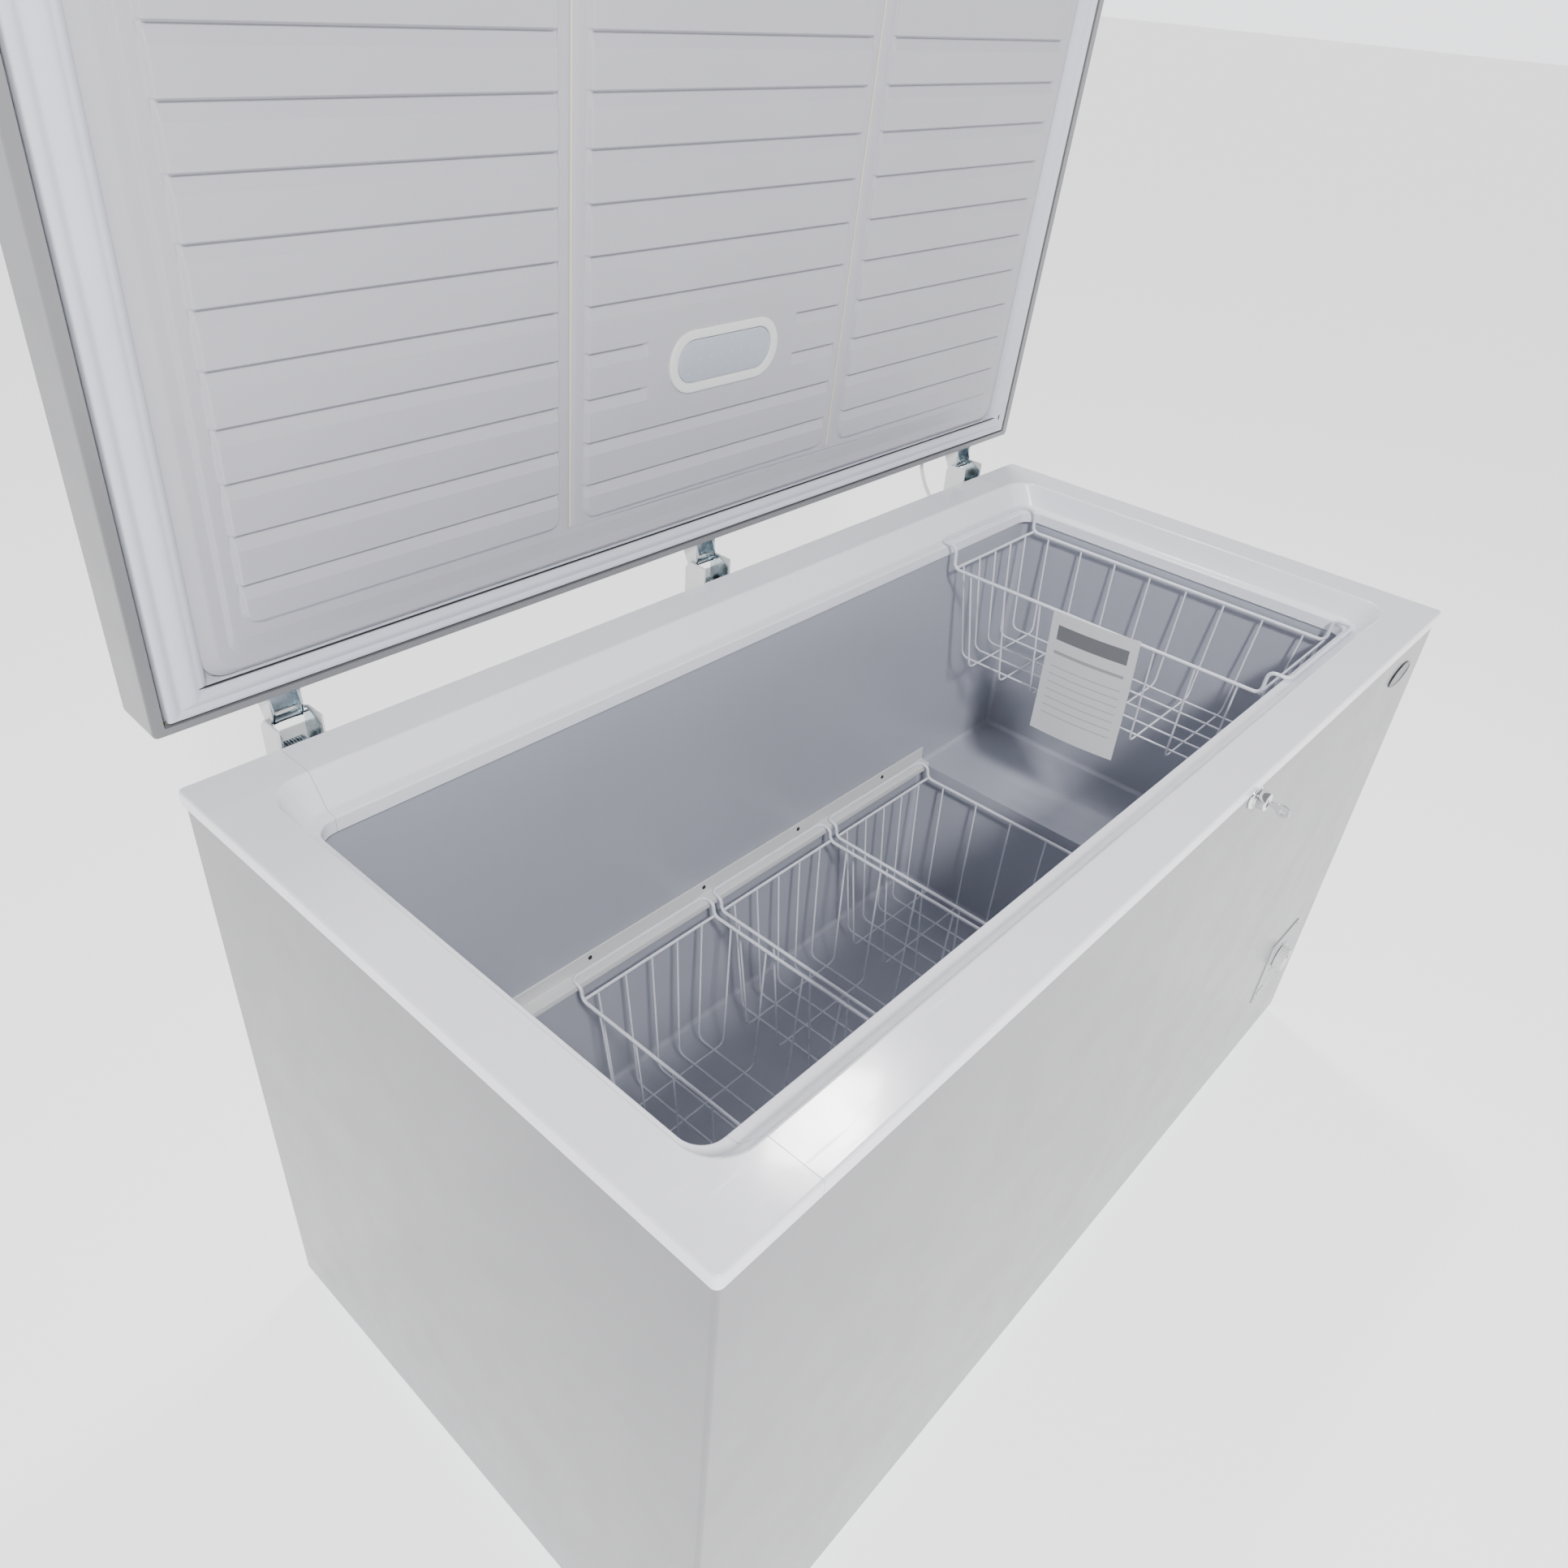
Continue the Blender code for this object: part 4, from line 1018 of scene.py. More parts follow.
def basket_wires(name, low_x, high_x, ring, floor, half_y, taper, hook_y, hook_z, crossings):
    """Ring wire with its two hooks, and the wires that run down, across the floor and up."""
    ring_radius = bpy.context.scene.freezer_sizes.ring_wire
    grid_radius = bpy.context.scene.freezer_sizes.grid_wire
    bend = bpy.context.scene.freezer_sizes.wire_bend
    low, high = low_x + ring_radius, high_x - ring_radius
    hook = hook_z + ring_radius
    loop = []
    for sy in (1, -1):
        ends = [(low, high), (high, low)][sy == -1]
        loop += [
            (ends[0], sy * half_y, ring), (ends[0], sy * (half_y + 0.002), hook),
            (ends[0], sy * hook_y, hook), (ends[1], sy * hook_y, hook),
            (ends[1], sy * (half_y + 0.002), hook), (ends[1], sy * half_y, ring),
        ]
    wires(f"{name}_ring", [(loop, True)], ring_radius, bend, "coated_wire", name, [name], sides=12)
    thin = ring_radius * 0.85
    cross = [
        ([(low, sy * (half_y - 0.001), ring), (high, sy * (half_y - 0.001), ring)], False)
        for sy in (-1, 1)
    ]
    wires(f"{name}_end_wires", cross, thin, 0, "coated_wire", name, sides=10)
    routes = []
    across, along = crossings
    inner = (high - low) / 2 - grid_radius
    centre = (high + low) / 2
    end = half_y - 0.001
    for share in even_shares(along):
        x, foot = centre + share * inner, centre + share * (inner - taper)
        up_and_down = [(x, -end, ring), (foot, -end + taper, floor)]
        up_and_down += [(foot, end - taper, floor), (x, end, ring)]
        routes.append((up_and_down, False))
    base = floor - 2 * grid_radius
    for share in even_shares(across):
        y, foot = share * half_y, share * (half_y - taper)
        up_and_down = [(low, y, ring), (low + taper, foot, base)]
        up_and_down += [(high - taper, foot, base), (high, y, ring)]
        routes.append((up_and_down, False))
    wires(f"{name}_grid", routes, grid_radius, GRID_BEND, "coated_wire", name)


def make_lower_baskets(sizes):
    """Three wire baskets hung on the rails."""
    for number in (1, 2, 3):
        name = f"lower_basket_{number}"
        low, high = place_of(name)
        basket_wires(
            name, low.x + 0.0012, high.x - 0.0012, ring=0.3265, floor=0.1185, half_y=0.238,
            taper=0.018, hook_y=0.2605, hook_z=0.3455, crossings=(7, 5),
        )


def make_upper_basket(sizes):
    """Wire basket hung on the rim's ledge."""
    low, high = place_of("upper_basket")
    basket_wires(
        "upper_basket", low.x, high.x, ring=0.7165, floor=0.5605, half_y=0.2445,
        taper=0.017, hook_y=0.2735, hook_z=0.7482, crossings=(8, 5),
    )


def make_card(sizes):
    """Blank card that hangs on the upper basket's side, a little curled and tilted."""
    low_x = place_of("upper_basket")[0].x
    width, height = 0.138, 0.188
    columns, rows = 12, 16
    bm = bmesh.new()
    grid = []
    tilt = Matrix.Rotation(math.radians(-2), 3, "X")
    for row in range(rows + 1):
        line = []
        for column in range(columns + 1):
            u, v = column / columns, row / rows
            bow = 0.004 * math.sin(math.pi * u) + 0.010 * (1 - v) ** 2
            spot = tilt @ Vector((0, (0.5 - u) * width, (v - 1) * height))
            line.append(bm.verts.new((low_x - 0.0035 - bow, -0.004 + spot.y, 0.7215 + spot.z)))
        grid.append(line)
    uv = bm.loops.layers.uv.new("card")
    for row in range(rows):
        for column in range(columns):
            corners = ((row, column), (row, column + 1), (row + 1, column + 1), (row + 1, column))
            face = bm.faces.new([grid[r][c] for r, c in corners])
            for loop, (r, c) in zip(face.loops, corners):
                loop[uv].uv = (c / columns, r / rows)
    bm.normal_update()
    if sum(face.normal.x for face in bm.faces) > 0:
        bmesh.ops.reverse_faces(bm, faces=bm.faces)
    made = add("hang_card", bm, "card_paper", "upper_basket")
    thicken(made, 0.0005)


# ---------------------------------------------------------------- lid

LID_LOW = 0.7835
LID_HIGH = 0.848
LID_X = 0.7155
LID_Y = 0.3576
FACE_Z = 0.7745  # face of the boards, lid closed
BORDER_Z = 0.7787
FIELD_X = 0.6155
FIELD_NEAR = 0.0895  # measured from the lid's rear edge
FIELD_FAR = 2 * LID_Y - FIELD_NEAR
FIELD_CORNER = 0.016
COLUMNS = ((-FIELD_X, -0.243), (-0.2095, 0.2095), (0.243, FIELD_X))
DIVIDER = 0.2262
DIVIDER_HALF = 0.0065
DIVIDER_DEPTH = 0.0026
BEVEL = 0.0045
FIRST_GROOVE = 0.1305
GROOVE_COUNT = 10
SLOPE = 0.0130
STEEP = 0.0028
LAMP_GAP = 0.121
GROOVE_END = 0.007
PANEL_X = 0.6205
PANEL_Y = 0.2726
LAMP_S = 0.2476


def make_lid_skin(sizes):
    """Painted lid with rounded edges and a returned flange."""
    rows = [rounded_loop(0.7035, 0.3495, 0.002, LID_LOW + 0.008, segments=5)]
    rows.append(rounded_loop(0.7035, 0.3495, 0.002, LID_LOW, segments=5))
    for step in range(5):
        angle = math.radians(90 * step / 4)
        inset = 0.0012 * (1 - math.sin(angle))
        z = LID_LOW + 0.0012 * (1 - math.cos(angle))
        rows.append(rounded_loop(LID_X - inset, LID_Y - inset, 0.006, z, segments=5))
    radius = 0.009
    for step in range(9):
        angle = math.radians(90 * step / 8)
        inset = radius * (1 - math.cos(angle))
        z = LID_HIGH - radius + radius * math.sin(angle)
        rows.append(rounded_loop(LID_X - inset, LID_Y - inset, 0.0075, z, segments=5))
    bm = face_up(loft_mesh(rows, ring=True, cap_last=True))
    made = add("lid_shell", bm, "white_painted_steel", "lid", ["lid_skin"], lid=True, smooth=40)
    thicken(made, 0.0009)


def make_gasket(sizes):
    """Lobed seal with mitred corners, and its flat base."""
    outer_x, outer_y = 0.6990, 0.3468
    inner_x, inner_y = 0.6555, 0.3202
    section = (
        (0.0, 0.7965), (0.0, 0.7855), (0.03, 0.7836), (0.07, 0.7826), (0.14, 0.7822),
        (0.20, 0.7826), (0.25, 0.7838), (0.30, 0.7848), (0.34, 0.7848), (0.39, 0.7838),
        (0.46, 0.7824), (0.54, 0.7812), (0.62, 0.7806), (0.68, 0.7808), (0.73, 0.7818),
        (0.77, 0.7826), (0.82, 0.7825), (0.88, 0.7834), (0.95, 0.7862), (1.0, 0.7900),
        (1.0, 0.7965),
    )
    rows = [rounded_loop(0.7045, 0.3505, 0.002, z, segments=3) for z in (0.7985, 0.7965)]
    for share, z in section:
        half_x = outer_x + (inner_x - outer_x) * share
        half_y = outer_y + (inner_y - outer_y) * share
        rows.append(rounded_loop(half_x, half_y, 0.0018, z, segments=3))
    rows.append(rounded_loop(inner_x, inner_y, 0.0018, 0.7985, segments=3))
    rows.append(rows[0])
    bm = loft_mesh(rows, ring=True)
    bmesh.ops.remove_doubles(bm, verts=bm.verts, dist=1e-5)
    outward(bm)
    add("lid_seal", bm, "soft_seal", "lid", ["lid_gasket"], lid=True, smooth=35)
    # Painted shade: near-black pieces in the seal's hole, in a notch and in the slit between the seal and
    # the panel along the rear edge, put where there is only shade.
    near = LID_Y - 0.0405
    profile = [(0, 0.0004), (0.0024, 0.0004), (0.0028, 0), (0, 0)]
    hole = lathe_mesh(profile, (-0.6712, near, 0.7816), (0, 0, -1), 16)
    notch = box_mesh((0.674, near - 0.001, 0.7810), (0.678, near + 0.0065, 0.7835))
    slit = box_mesh((-0.6712, near + 0.0019, 0.7824), (0.676, near + 0.0031, 0.7840))
    add("seal_holes", join_meshes(hole, notch, slit), "hole_black", "lid", lid=True)


def groove_depth_at(x, s, column, sizes):
    """How deep a groove between two boards is at this spot of a column."""
    pitch = sizes.groove_pitch
    index = math.ceil((s - STEEP - FIRST_GROOVE) / pitch)
    if not 0 <= index < GROOVE_COUNT:
        return 0.0
    offset = s - FIRST_GROOVE - index * pitch
    if offset < -SLOPE or offset > STEEP:
        return 0.0
    depth = sizes.groove_depth
    level = depth * (1 + offset / SLOPE) if offset <= 0 else depth * (1 - offset / STEEP)
    level += 0.3 * depth * max(0.0, 1 - abs(offset) / 0.0013)
    low, high = column
    away = min(x - low, high - x) + 0.001
    if low < 0 < high and index in (2, 3):
        away = min(away, abs(x) - LAMP_GAP)
    return max(0.0, min(level, depth * away / GROOVE_END))


def panel_height(x, s, sizes):
    """Height of the lid's panel above its border."""
    height = -DIVIDER_DEPTH * max(0.0, 1 - abs(abs(x) - DIVIDER) / DIVIDER_HALF)
    for column in COLUMNS:
        low, high = column
        dx = max(low + FIELD_CORNER - x, x - high + FIELD_CORNER, 0.0)
        ds = max(FIELD_NEAR + FIELD_CORNER - s, s - FIELD_FAR + FIELD_CORNER, 0.0)
        inside = FIELD_CORNER - math.hypot(dx, ds)
        if dx == 0 and ds == 0:
            inside = FIELD_CORNER
        share = min(1.0, max(0.0, inside / BEVEL))
        if share > 0:
            rise = share * share * (3 - 2 * share)
            height = sizes.field_rise * rise - groove_depth_at(x, s, column, sizes)
    return height


def even_lines(marks, low, high, widest):
    """Sorted grid lines at the marks, with more between where a gap is too wide."""
    kept = sorted({round(mark, 5) for mark in marks if low < mark < high} | {low, high})
    lines = [kept[0]]
    for mark in kept[1:]:
        if mark - lines[-1] < 0.0003:
            continue
        count = max(1, math.ceil((mark - lines[-1]) / widest))
        start = lines[-1]
        lines += [start + (mark - start) * (i + 1) / count for i in range(count)]
    return lines


def make_lid_panel(sizes):
    """Moulded panel: a stepped border, three columns of boards and the grooves between them."""
    x_marks = []
    for low, high in COLUMNS:
        for edge, inward in ((low, 1), (high, -1)):
            x_marks += [edge + inward * 0.001 * k for k in range(-1, 9)]
            x_marks += [edge + inward * 0.002 * k for k in range(5, 9)]
    for centre in (-DIVIDER, DIVIDER):
        x_marks += [centre + DIVIDER_HALF * k / 3 for k in range(-3, 4)]
    for gap in (-LAMP_GAP, LAMP_GAP):
        x_marks += [gap + math.copysign(0.001 * k, gap) for k in range(-1, 9)]
    s_marks = []
    for index in range(GROOVE_COUNT):
        s = FIRST_GROOVE + index * sizes.groove_pitch
        s_marks += [s - SLOPE - 0.0006, s - SLOPE, s - SLOPE + 0.0006, s - SLOPE / 2, s - 0.003]
        s_marks += [s - 0.0013, s, s + 0.0013, s + STEEP, s + STEEP + 0.0006]
    for edge, inward in ((FIELD_NEAR, 1), (FIELD_FAR, -1)):
        s_marks += [edge + inward * 0.0009 * k for k in range(-1, 7)]
        s_marks += [edge + inward * 0.002 * k for k in range(3, 10)]
    xs = even_lines(x_marks, -PANEL_X, PANEL_X, 0.02)
    ss = even_lines(s_marks, LID_Y - PANEL_Y, LID_Y + PANEL_Y, 0.02)
    bm = bmesh.new()
    grid = []
    for s in ss:
        line = []
        for x in xs:
            line.append(bm.verts.new((x, LID_Y - s, BORDER_Z - panel_height(x, s, sizes))))
        grid.append(line)
    for first, second in zip(grid, grid[1:]):
        for i in range(len(xs) - 1):
            bm.faces.new((first[i], first[i + 1], second[i + 1], second[i]))
    rings = (
        (0.6640, 0.3265, 0.7975, 0.004), (0.6568, 0.3186, 0.7972, 0.024),
        (0.6566, 0.3184, 0.7890, 0.024), (0.6470, 0.3146, 0.7856, 0.024),
        (0.6440, 0.3132, 0.7842, 0.023), (0.6420, 0.3118, 0.7836, 0.022),
        (0.6395, 0.3094, 0.7834, 0.020), (0.6312, 0.3000, 0.7834, 0.016),
        (0.6300, 0.2975, 0.7829, 0.014), (0.6278, 0.2826, 0.7794, 0.009),
        (0.6268, 0.2810, 0.7789, 0.008), (0.6258, 0.2800, BORDER_Z, 0.007),
    )
    loops = [[bm.verts.new(p) for p in rounded_loop(x, y, r, z, segments=8)] for x, y, z, r in rings]
    count = len(loops[0])
    for first, second in zip(loops, loops[1:]):
        for i in range(count):
            j = (i + 1) % count
            bm.faces.new((first[i], first[j], second[j], second[i]))
    bm.edges.ensure_lookup_table()
    last = set(loops[-1])
    border = [e for e in bm.edges if len(e.link_faces) == 1]
    inner = [e for e in border if all(v in last for v in e.verts)]
    around = {v for line in (grid[0], grid[-1]) for v in line}
    around |= {line[i] for line in grid for i in (0, -1)}
    outer = [e for e in border if all(v in around for v in e.verts)]
    bmesh.ops.triangle_fill(bm, use_beauty=True, edges=inner + outer, normal=(0, 0, -1))
    face_up(bm, -1)
    bm.normal_update()
    for face in bm.faces:
        if face.normal.z > 0.3:
            face.normal_flip()
    made = add("lid_panel", bm, "lid_liner_plastic", "lid", ["lid_liner"], lid=True, smooth=28)
    thicken(made, 0.0015, even=False)
    # Painted shade: near-black dots that stand for the shade inside the panel's vent holes.
    holes = []
    for side in (-1, 1):
        for row, offsets in ((0, (-0.0085, 0, 0.0085)), (1, (-0.00425, 0.00425))):
            for offset in offsets:
                s = 0.1075 - 0.0066 * row
                holes.append(((side * 0.590 + offset, LID_Y - s, FACE_Z + 0.0003), (math.pi, 0, 0)))
    core_rings = (
        (0.6230, 0.2770, 0.7810, 0.010), (0.6490, 0.3110, 0.7988, 0.012),
        (0.7130, 0.3550, 0.7988, 0.006), (0.7130, 0.3550, 0.8400, 0.006),
        (0.7060, 0.3480, 0.8465, 0.006),
    )
    rows = [rounded_loop(x, y, r, z) for x, y, z, r in core_rings]
    core = outward(loft_mesh(rows, ring=True, cap_first=True, cap_last=True))
    add("lid_core", core, "rigid_foam", "lid", ["lid_foam"], lid=True)
    profile = [(0, 0.0007), (0.0016, 0.0007), (0.0019, 0.0004), (0.0019, 0), (0, 0)]
    dot = lathe_mesh(profile, (0, 0, 0), (0, 0, 1), 14)
    repeated("panel_vents", dot, holes, "hole_black", "lid", lid=True)


def stadium(length_, width, z, centre, segments=12):
    return rounded_loop(length_ / 2, width / 2, width / 2 - 0.0001, z, centre, segments)


def make_lamp(sizes):
    """Lamp in the lid: a raised bezel with a sunken lip, and a slightly domed frosted lens."""
    centre = (0, LID_Y - LAMP_S)
    base, top = FACE_Z + 0.0004, FACE_Z - 0.0042
    shape = (
        (0.1812, 0.0732, base), (0.1812, 0.0732, FACE_Z - 0.0004),
        (0.1800, 0.0720, FACE_Z - 0.0010), (0.1796, 0.0716, top + 0.0010),
        (0.1778, 0.0698, top + 0.0002), (0.1750, 0.0670, top), (0.1590, 0.0530, top),
        (0.1572, 0.0512, top + 0.0003), (0.1560, 0.0500, top + 0.0012),
        (0.1550, 0.0490, top + 0.0030), (0.1550, 0.0490, base), (0.1812, 0.0732, base),
    )
    bm = loft_mesh([stadium(a, b, z, centre) for a, b, z in shape], ring=True)
    bmesh.ops.remove_doubles(bm, verts=bm.verts, dist=1e-6)
    add("lamp_frame", outward(bm), "white_cover_plastic", "lid", ["lamp_bezel"], lid=True)
    gap = (
        (0.1830, 0.0750, FACE_Z + 0.0002), (0.1830, 0.0750, FACE_Z - 0.0003),
        (0.1812, 0.0732, FACE_Z - 0.0003), (0.1812, 0.0732, FACE_Z + 0.0002),
        (0.1830, 0.0750, FACE_Z + 0.0002),
    )
    bm = loft_mesh([stadium(a, b, z, centre) for a, b, z in gap], ring=True)
    bmesh.ops.remove_doubles(bm, verts=bm.verts, dist=1e-6)
    add("lamp_shadow_gap", outward(bm), "hole_black", "lid", lid=True)
    dome = (
        (0.1540, 0.0480, base), (0.1540, 0.0480, top + 0.0016), (0.1500, 0.0440, top + 0.0010),
        (0.1300, 0.0240, top + 0.0006), (0.1100, 0.0040, top + 0.0005),
    )
    bm = loft_mesh([stadium(a, b, z, centre) for a, b, z in dome], ring=True, cap_first=True, cap_last=True)
    add("lamp_cover", outward(bm), "frosted_lens", "lid", ["lamp_lens"], lid=True)


def make_handle(sizes):
    """Moulded grip along the lid's front edge."""
    face = -LID_Y - 0.0003
    outline = section(
        [
            (face, 0.822), (face, 0.836), (face - 0.014, 0.8325), (face - 0.0275, 0.816),
            (face - 0.0275, 0.798), (face - 0.0215, 0.7965), (face - 0.0140, 0.8065),
            (face, 0.8065), (face, 0.822),
        ],
        [0.0012, 0.012, 0.008, 0.003, 0.003, 0.006, 0.001], 5,
    )
    bm = round_edges(prism_mesh(outline, -0.0848, 0.0848), 0.0025, 3, 60)
    add("grip", bm, "white_cover_plastic", "lid", ["lid_handle"], lid=True)


# ---------------------------------------------------------------- lock, badge and controls


def make_lock(sizes):
    """Chrome flange, barrel with its keyway, flat key strip and the catch on the lid."""
    low, high = place_of("lock_escutcheon")
    x, _, z = middle_of(low, high)
    face = high.y + 0.0003
    ring = [
        (0.0112, 0.0004), (0.0150, 0.0004), (0.0150, 0.0016), (0.0143, 0.0026), (0.0128, 0.0036),
        (0.0118, 0.0040), (0.0112, 0.0038), (0.0112, 0.0004),
    ]
    flange = lathe_mesh(ring, (x, face, z), (0, -1, 0), 48)
    add("lock_flange", flange, "chrome", "cabinet", ["lock_escutcheon"])
    barrel = [
        (0, 0.0154), (0.0060, 0.0154), (0.0066, 0.0163), (0.0090, 0.0165), (0.0103, 0.0157),
        (0.0107, 0.0146), (0.0107, 0.0064), (0.0101, 0.0056), (0.0107, 0.0048), (0.0107, 0.0006),
        (0, 0.0006),
    ]
    turned = lathe_mesh(barrel, (x, face, z), (0, -1, 0), 48)
    keyway = box_mesh((x - 0.0008, face - 0.02, z - 0.0042), (x + 0.0008, face - 0.0125, z + 0.0042))
    add("lock_core", carved(turned, [keyway]), "chrome", "lock", ["lock_barrel"])
    low, high = place_of("lock_key")
    y0, y1, z0, z1 = low.y, high.y, low.z, high.z
    outline = section(
        [
            (y1 - 0.001, z - 0.0035), (y1 - 0.001, z + 0.0032), (y1 - 0.006, z + 0.0036),
            (y0 + 0.006, z1), (y0, z + 0.001), (y0, z0 + 0.004), (y0 + 0.006, z0),
            (y0 + 0.013, z0 + 0.003), (y1 - 0.007, z - 0.0035), (y1 - 0.001, z - 0.0035),
        ],
        [0.0006, 0.003, 0.005, 0.004, 0.004, 0.004, 0.004, 0.002], 4,
    )
    key = prism_mesh(outline, x - 0.0009, x + 0.0009)
    eye_y, eye_z = y0 + 0.007, (z0 + z) / 2 + 0.002
    eye = plug_mesh(0.0032, 0.01, -0.01, (x, eye_y, eye_z), (1, 0, 0), 20)
    add("flat_key", round_edges(carved(key, [eye]), 0.0003, 2, 50), "chrome", "lock", ["lock_key"])
    front = -LID_Y - 0.0003
    outline = section(
        [
            (front, 0.792), (front, 0.800), (front - 0.0046, 0.797), (front - 0.0046, 0.7705),
            (front - 0.0012, 0.7705), (front - 0.0012, 0.785), (front, 0.786), (front, 0.792),
        ],
        [0.0006, 0.0015, 0.0006, 0.0006, 0.0003, 0.0003], 3,
    )
    catch = prism_mesh(outline, x - 0.014, x + 0.014)
    add("catch_plate", round_edges(catch, 0.0008, 2, 60), "chrome", "lid", ["lock_catch"], lid=True)


def make_badge(sizes):
    """Blank metal badge with pointed ends, a raised border and a sunken field."""
    low, high = place_of("badge_plate")
    x, _, z = middle_of(low, high)
    back, front = high.y, low.y

    def outline(scale_x, scale_z, y):
        points = []
        for step in range(48):
            angle = 2 * math.pi * step / 48
            c, s = math.cos(angle), math.sin(angle)
            wide = math.copysign(abs(c) ** 1.15, c) * 0.0400 * scale_x
            tall = s * 0.0155 * scale_z
            points.append(Vector((x + wide, y, z + tall)))
        return points

    rows = [
        outline(1, 1, back),
        outline(1, 1, front + 0.0006),
        outline(0.985, 0.965, front + 0.0001),
        outline(0.955, 0.90, front),
        outline(0.925, 0.83, front + 0.0001),
        outline(0.905, 0.79, front + 0.0007),
        outline(0.50, 0.45, front + 0.0006),
    ]
    bm = loft_mesh(rows, ring=True, cap_first=True, cap_last=True)
    add("badge", outward(bm), "badge_pewter", "cabinet", ["badge_plate"], smooth=30)


DIAL_PLACE = (0.585, 0.212)
MARK_RING = 0.0262


def make_controls(sizes):
    """Thermostat knob with ribs and a pointer, plain marks round it, and the signal lens."""
    low, high = place_of("control_panel")
    face = low.y
    panel = box_mesh(low, high)
    x, z = DIAL_PLACE
    recess = plug_mesh(0.024, 0.01, -0.0006, (x, face, z), (0, -1, 0), 40)
    slot = box_mesh((0.5445, face - 0.01, 0.1515), (0.5665, face + 0.01, 0.1595))
    plate = round_edges(carved(panel, [recess, slot]), 0.0008, 2, 50)
    add("control_plate", plate, "grey_plastic", "cabinet", ["control_panel"])
    profile = [
        (0, 0.0136), (0.0140, 0.0136), (0.0152, 0.0145), (0.0166, 0.0145), (0.0180, 0.0136),
        (0.0188, 0.0118), (0.0198, 0.0012), (0.0196, 0.0007), (0.0040, 0.0007), (0.0040, -0.004),
        (0, -0.004),
    ]
    knob = lathe_mesh(profile, (x, face, z), (0, -1, 0), 144, 24, 0.0012, (5, 6))
    bar = box_mesh((x - 0.0012, face - 0.0143, z + 0.003), (x + 0.0012, face - 0.0130, z + 0.0135))
    bar = round_edges(bar, 0.0004, 2)
    add("dial", knob, "white_cover_plastic", "thermostat_knob", ["thermostat_knob"])
    add("dial_pointer", bar, "black_plastic", "thermostat_knob")
    places = []
    for index in range(7):
        angle = math.radians(-135 + 45 * index)
        across, up = MARK_RING * math.sin(angle), MARK_RING * math.cos(angle)
        spot = (x + across, face - 0.0002, z + up)
        places.append((spot, (0, angle, 0)))
    tick = box_mesh((-0.0004, -0.0002, -0.0016), (0.0004, 0.0003, 0.0016))
    repeated("dial_marks", tick, places, "black_plastic", "cabinet", smooth=0)
    low, high = place_of("indicator_lens")
    lamp = round_edges(box_mesh(low, high), 0.0005, 2)
    add("signal_lens", lamp, "dark_lens", "cabinet", ["indicator_lens"])
    places = [((x_, face, z_), (math.pi / 2, 0, 0)) for x_ in (0.541, 0.629) for z_ in (0.146, 0.254)]
    repeated("panel_screws", screw_head(0.0024, 0.0010, 0.0006), places, "grey_plastic", "cabinet")


SLAT_COUNT = 18


def make_grille(sizes):
    """Side grille: a frame with tilted slats and four screws."""
    low, high = place_of("side_grille")
    frame_box = box_mesh(low, high)
    opening = box_mesh(
        (low.x - 0.01, low.y + 0.019, low.z + 0.013), (high.x + 0.01, high.y - 0.019, high.z - 0.013)
    )
    border = round_edges(carved(frame_box, [opening]), 0.0009, 2, 50)
    add("grille_frame", border, "white_cover_plastic", "cabinet", ["side_grille"])
    slat = round_edges(box_mesh((-0.0031, -0.1205, -0.0008), (0.0031, 0.1205, 0.0008)), 0.0006, 2)
    middle = middle_of(low, high)
    pitch = (high.z - low.z - 0.026) / SLAT_COUNT
    places = []
    for row in range(SLAT_COUNT):
        spot = (middle.x - 0.0006, middle.y, low.z + 0.013 + pitch * (row + 0.5))
        places.append((spot, (0, math.radians(38), 0)))
    repeated("grille_slats", slat, places, "white_cover_plastic", "cabinet")
    posts = []
    for y in (0.100, 0.160, 0.220):
        foot = (low.x, y - 0.0012, low.z + 0.012)
        posts.append(box_mesh(foot, (low.x + 0.0012, y + 0.0012, high.z - 0.012)))
    add("grille_posts", join_meshes(*posts), "white_cover_plastic", "cabinet", smooth=0)
    places = [
        ((high.x, y, z), (0, math.pi / 2, 0))
        for y in (low.y + 0.0095, high.y - 0.0095)
        for z in (low.z + 0.03, high.z - 0.03)
    ]
    repeated("grille_screws", screw_head(0.0038, 0.0014, 0.0009), places, "zinc_steel", "cabinet")


# ---------------------------------------------------------------- hinges and lead


def at_hinge(points):
    return [(HINGE.y + y, HINGE.z + z) for y, z in points]


def coil(centre, axis_x, radius, turns, length_, per_turn=10):
    """Points of a spring that winds along X."""
    points = []
    for step in range(int(turns * per_turn) + 1):
        angle = 2 * math.pi * step / per_turn
        x = axis_x + length_ * step / (turns * per_turn)
        points.append((x, centre[0] + radius * math.cos(angle), centre[1] + radius * math.sin(angle)))
    return points


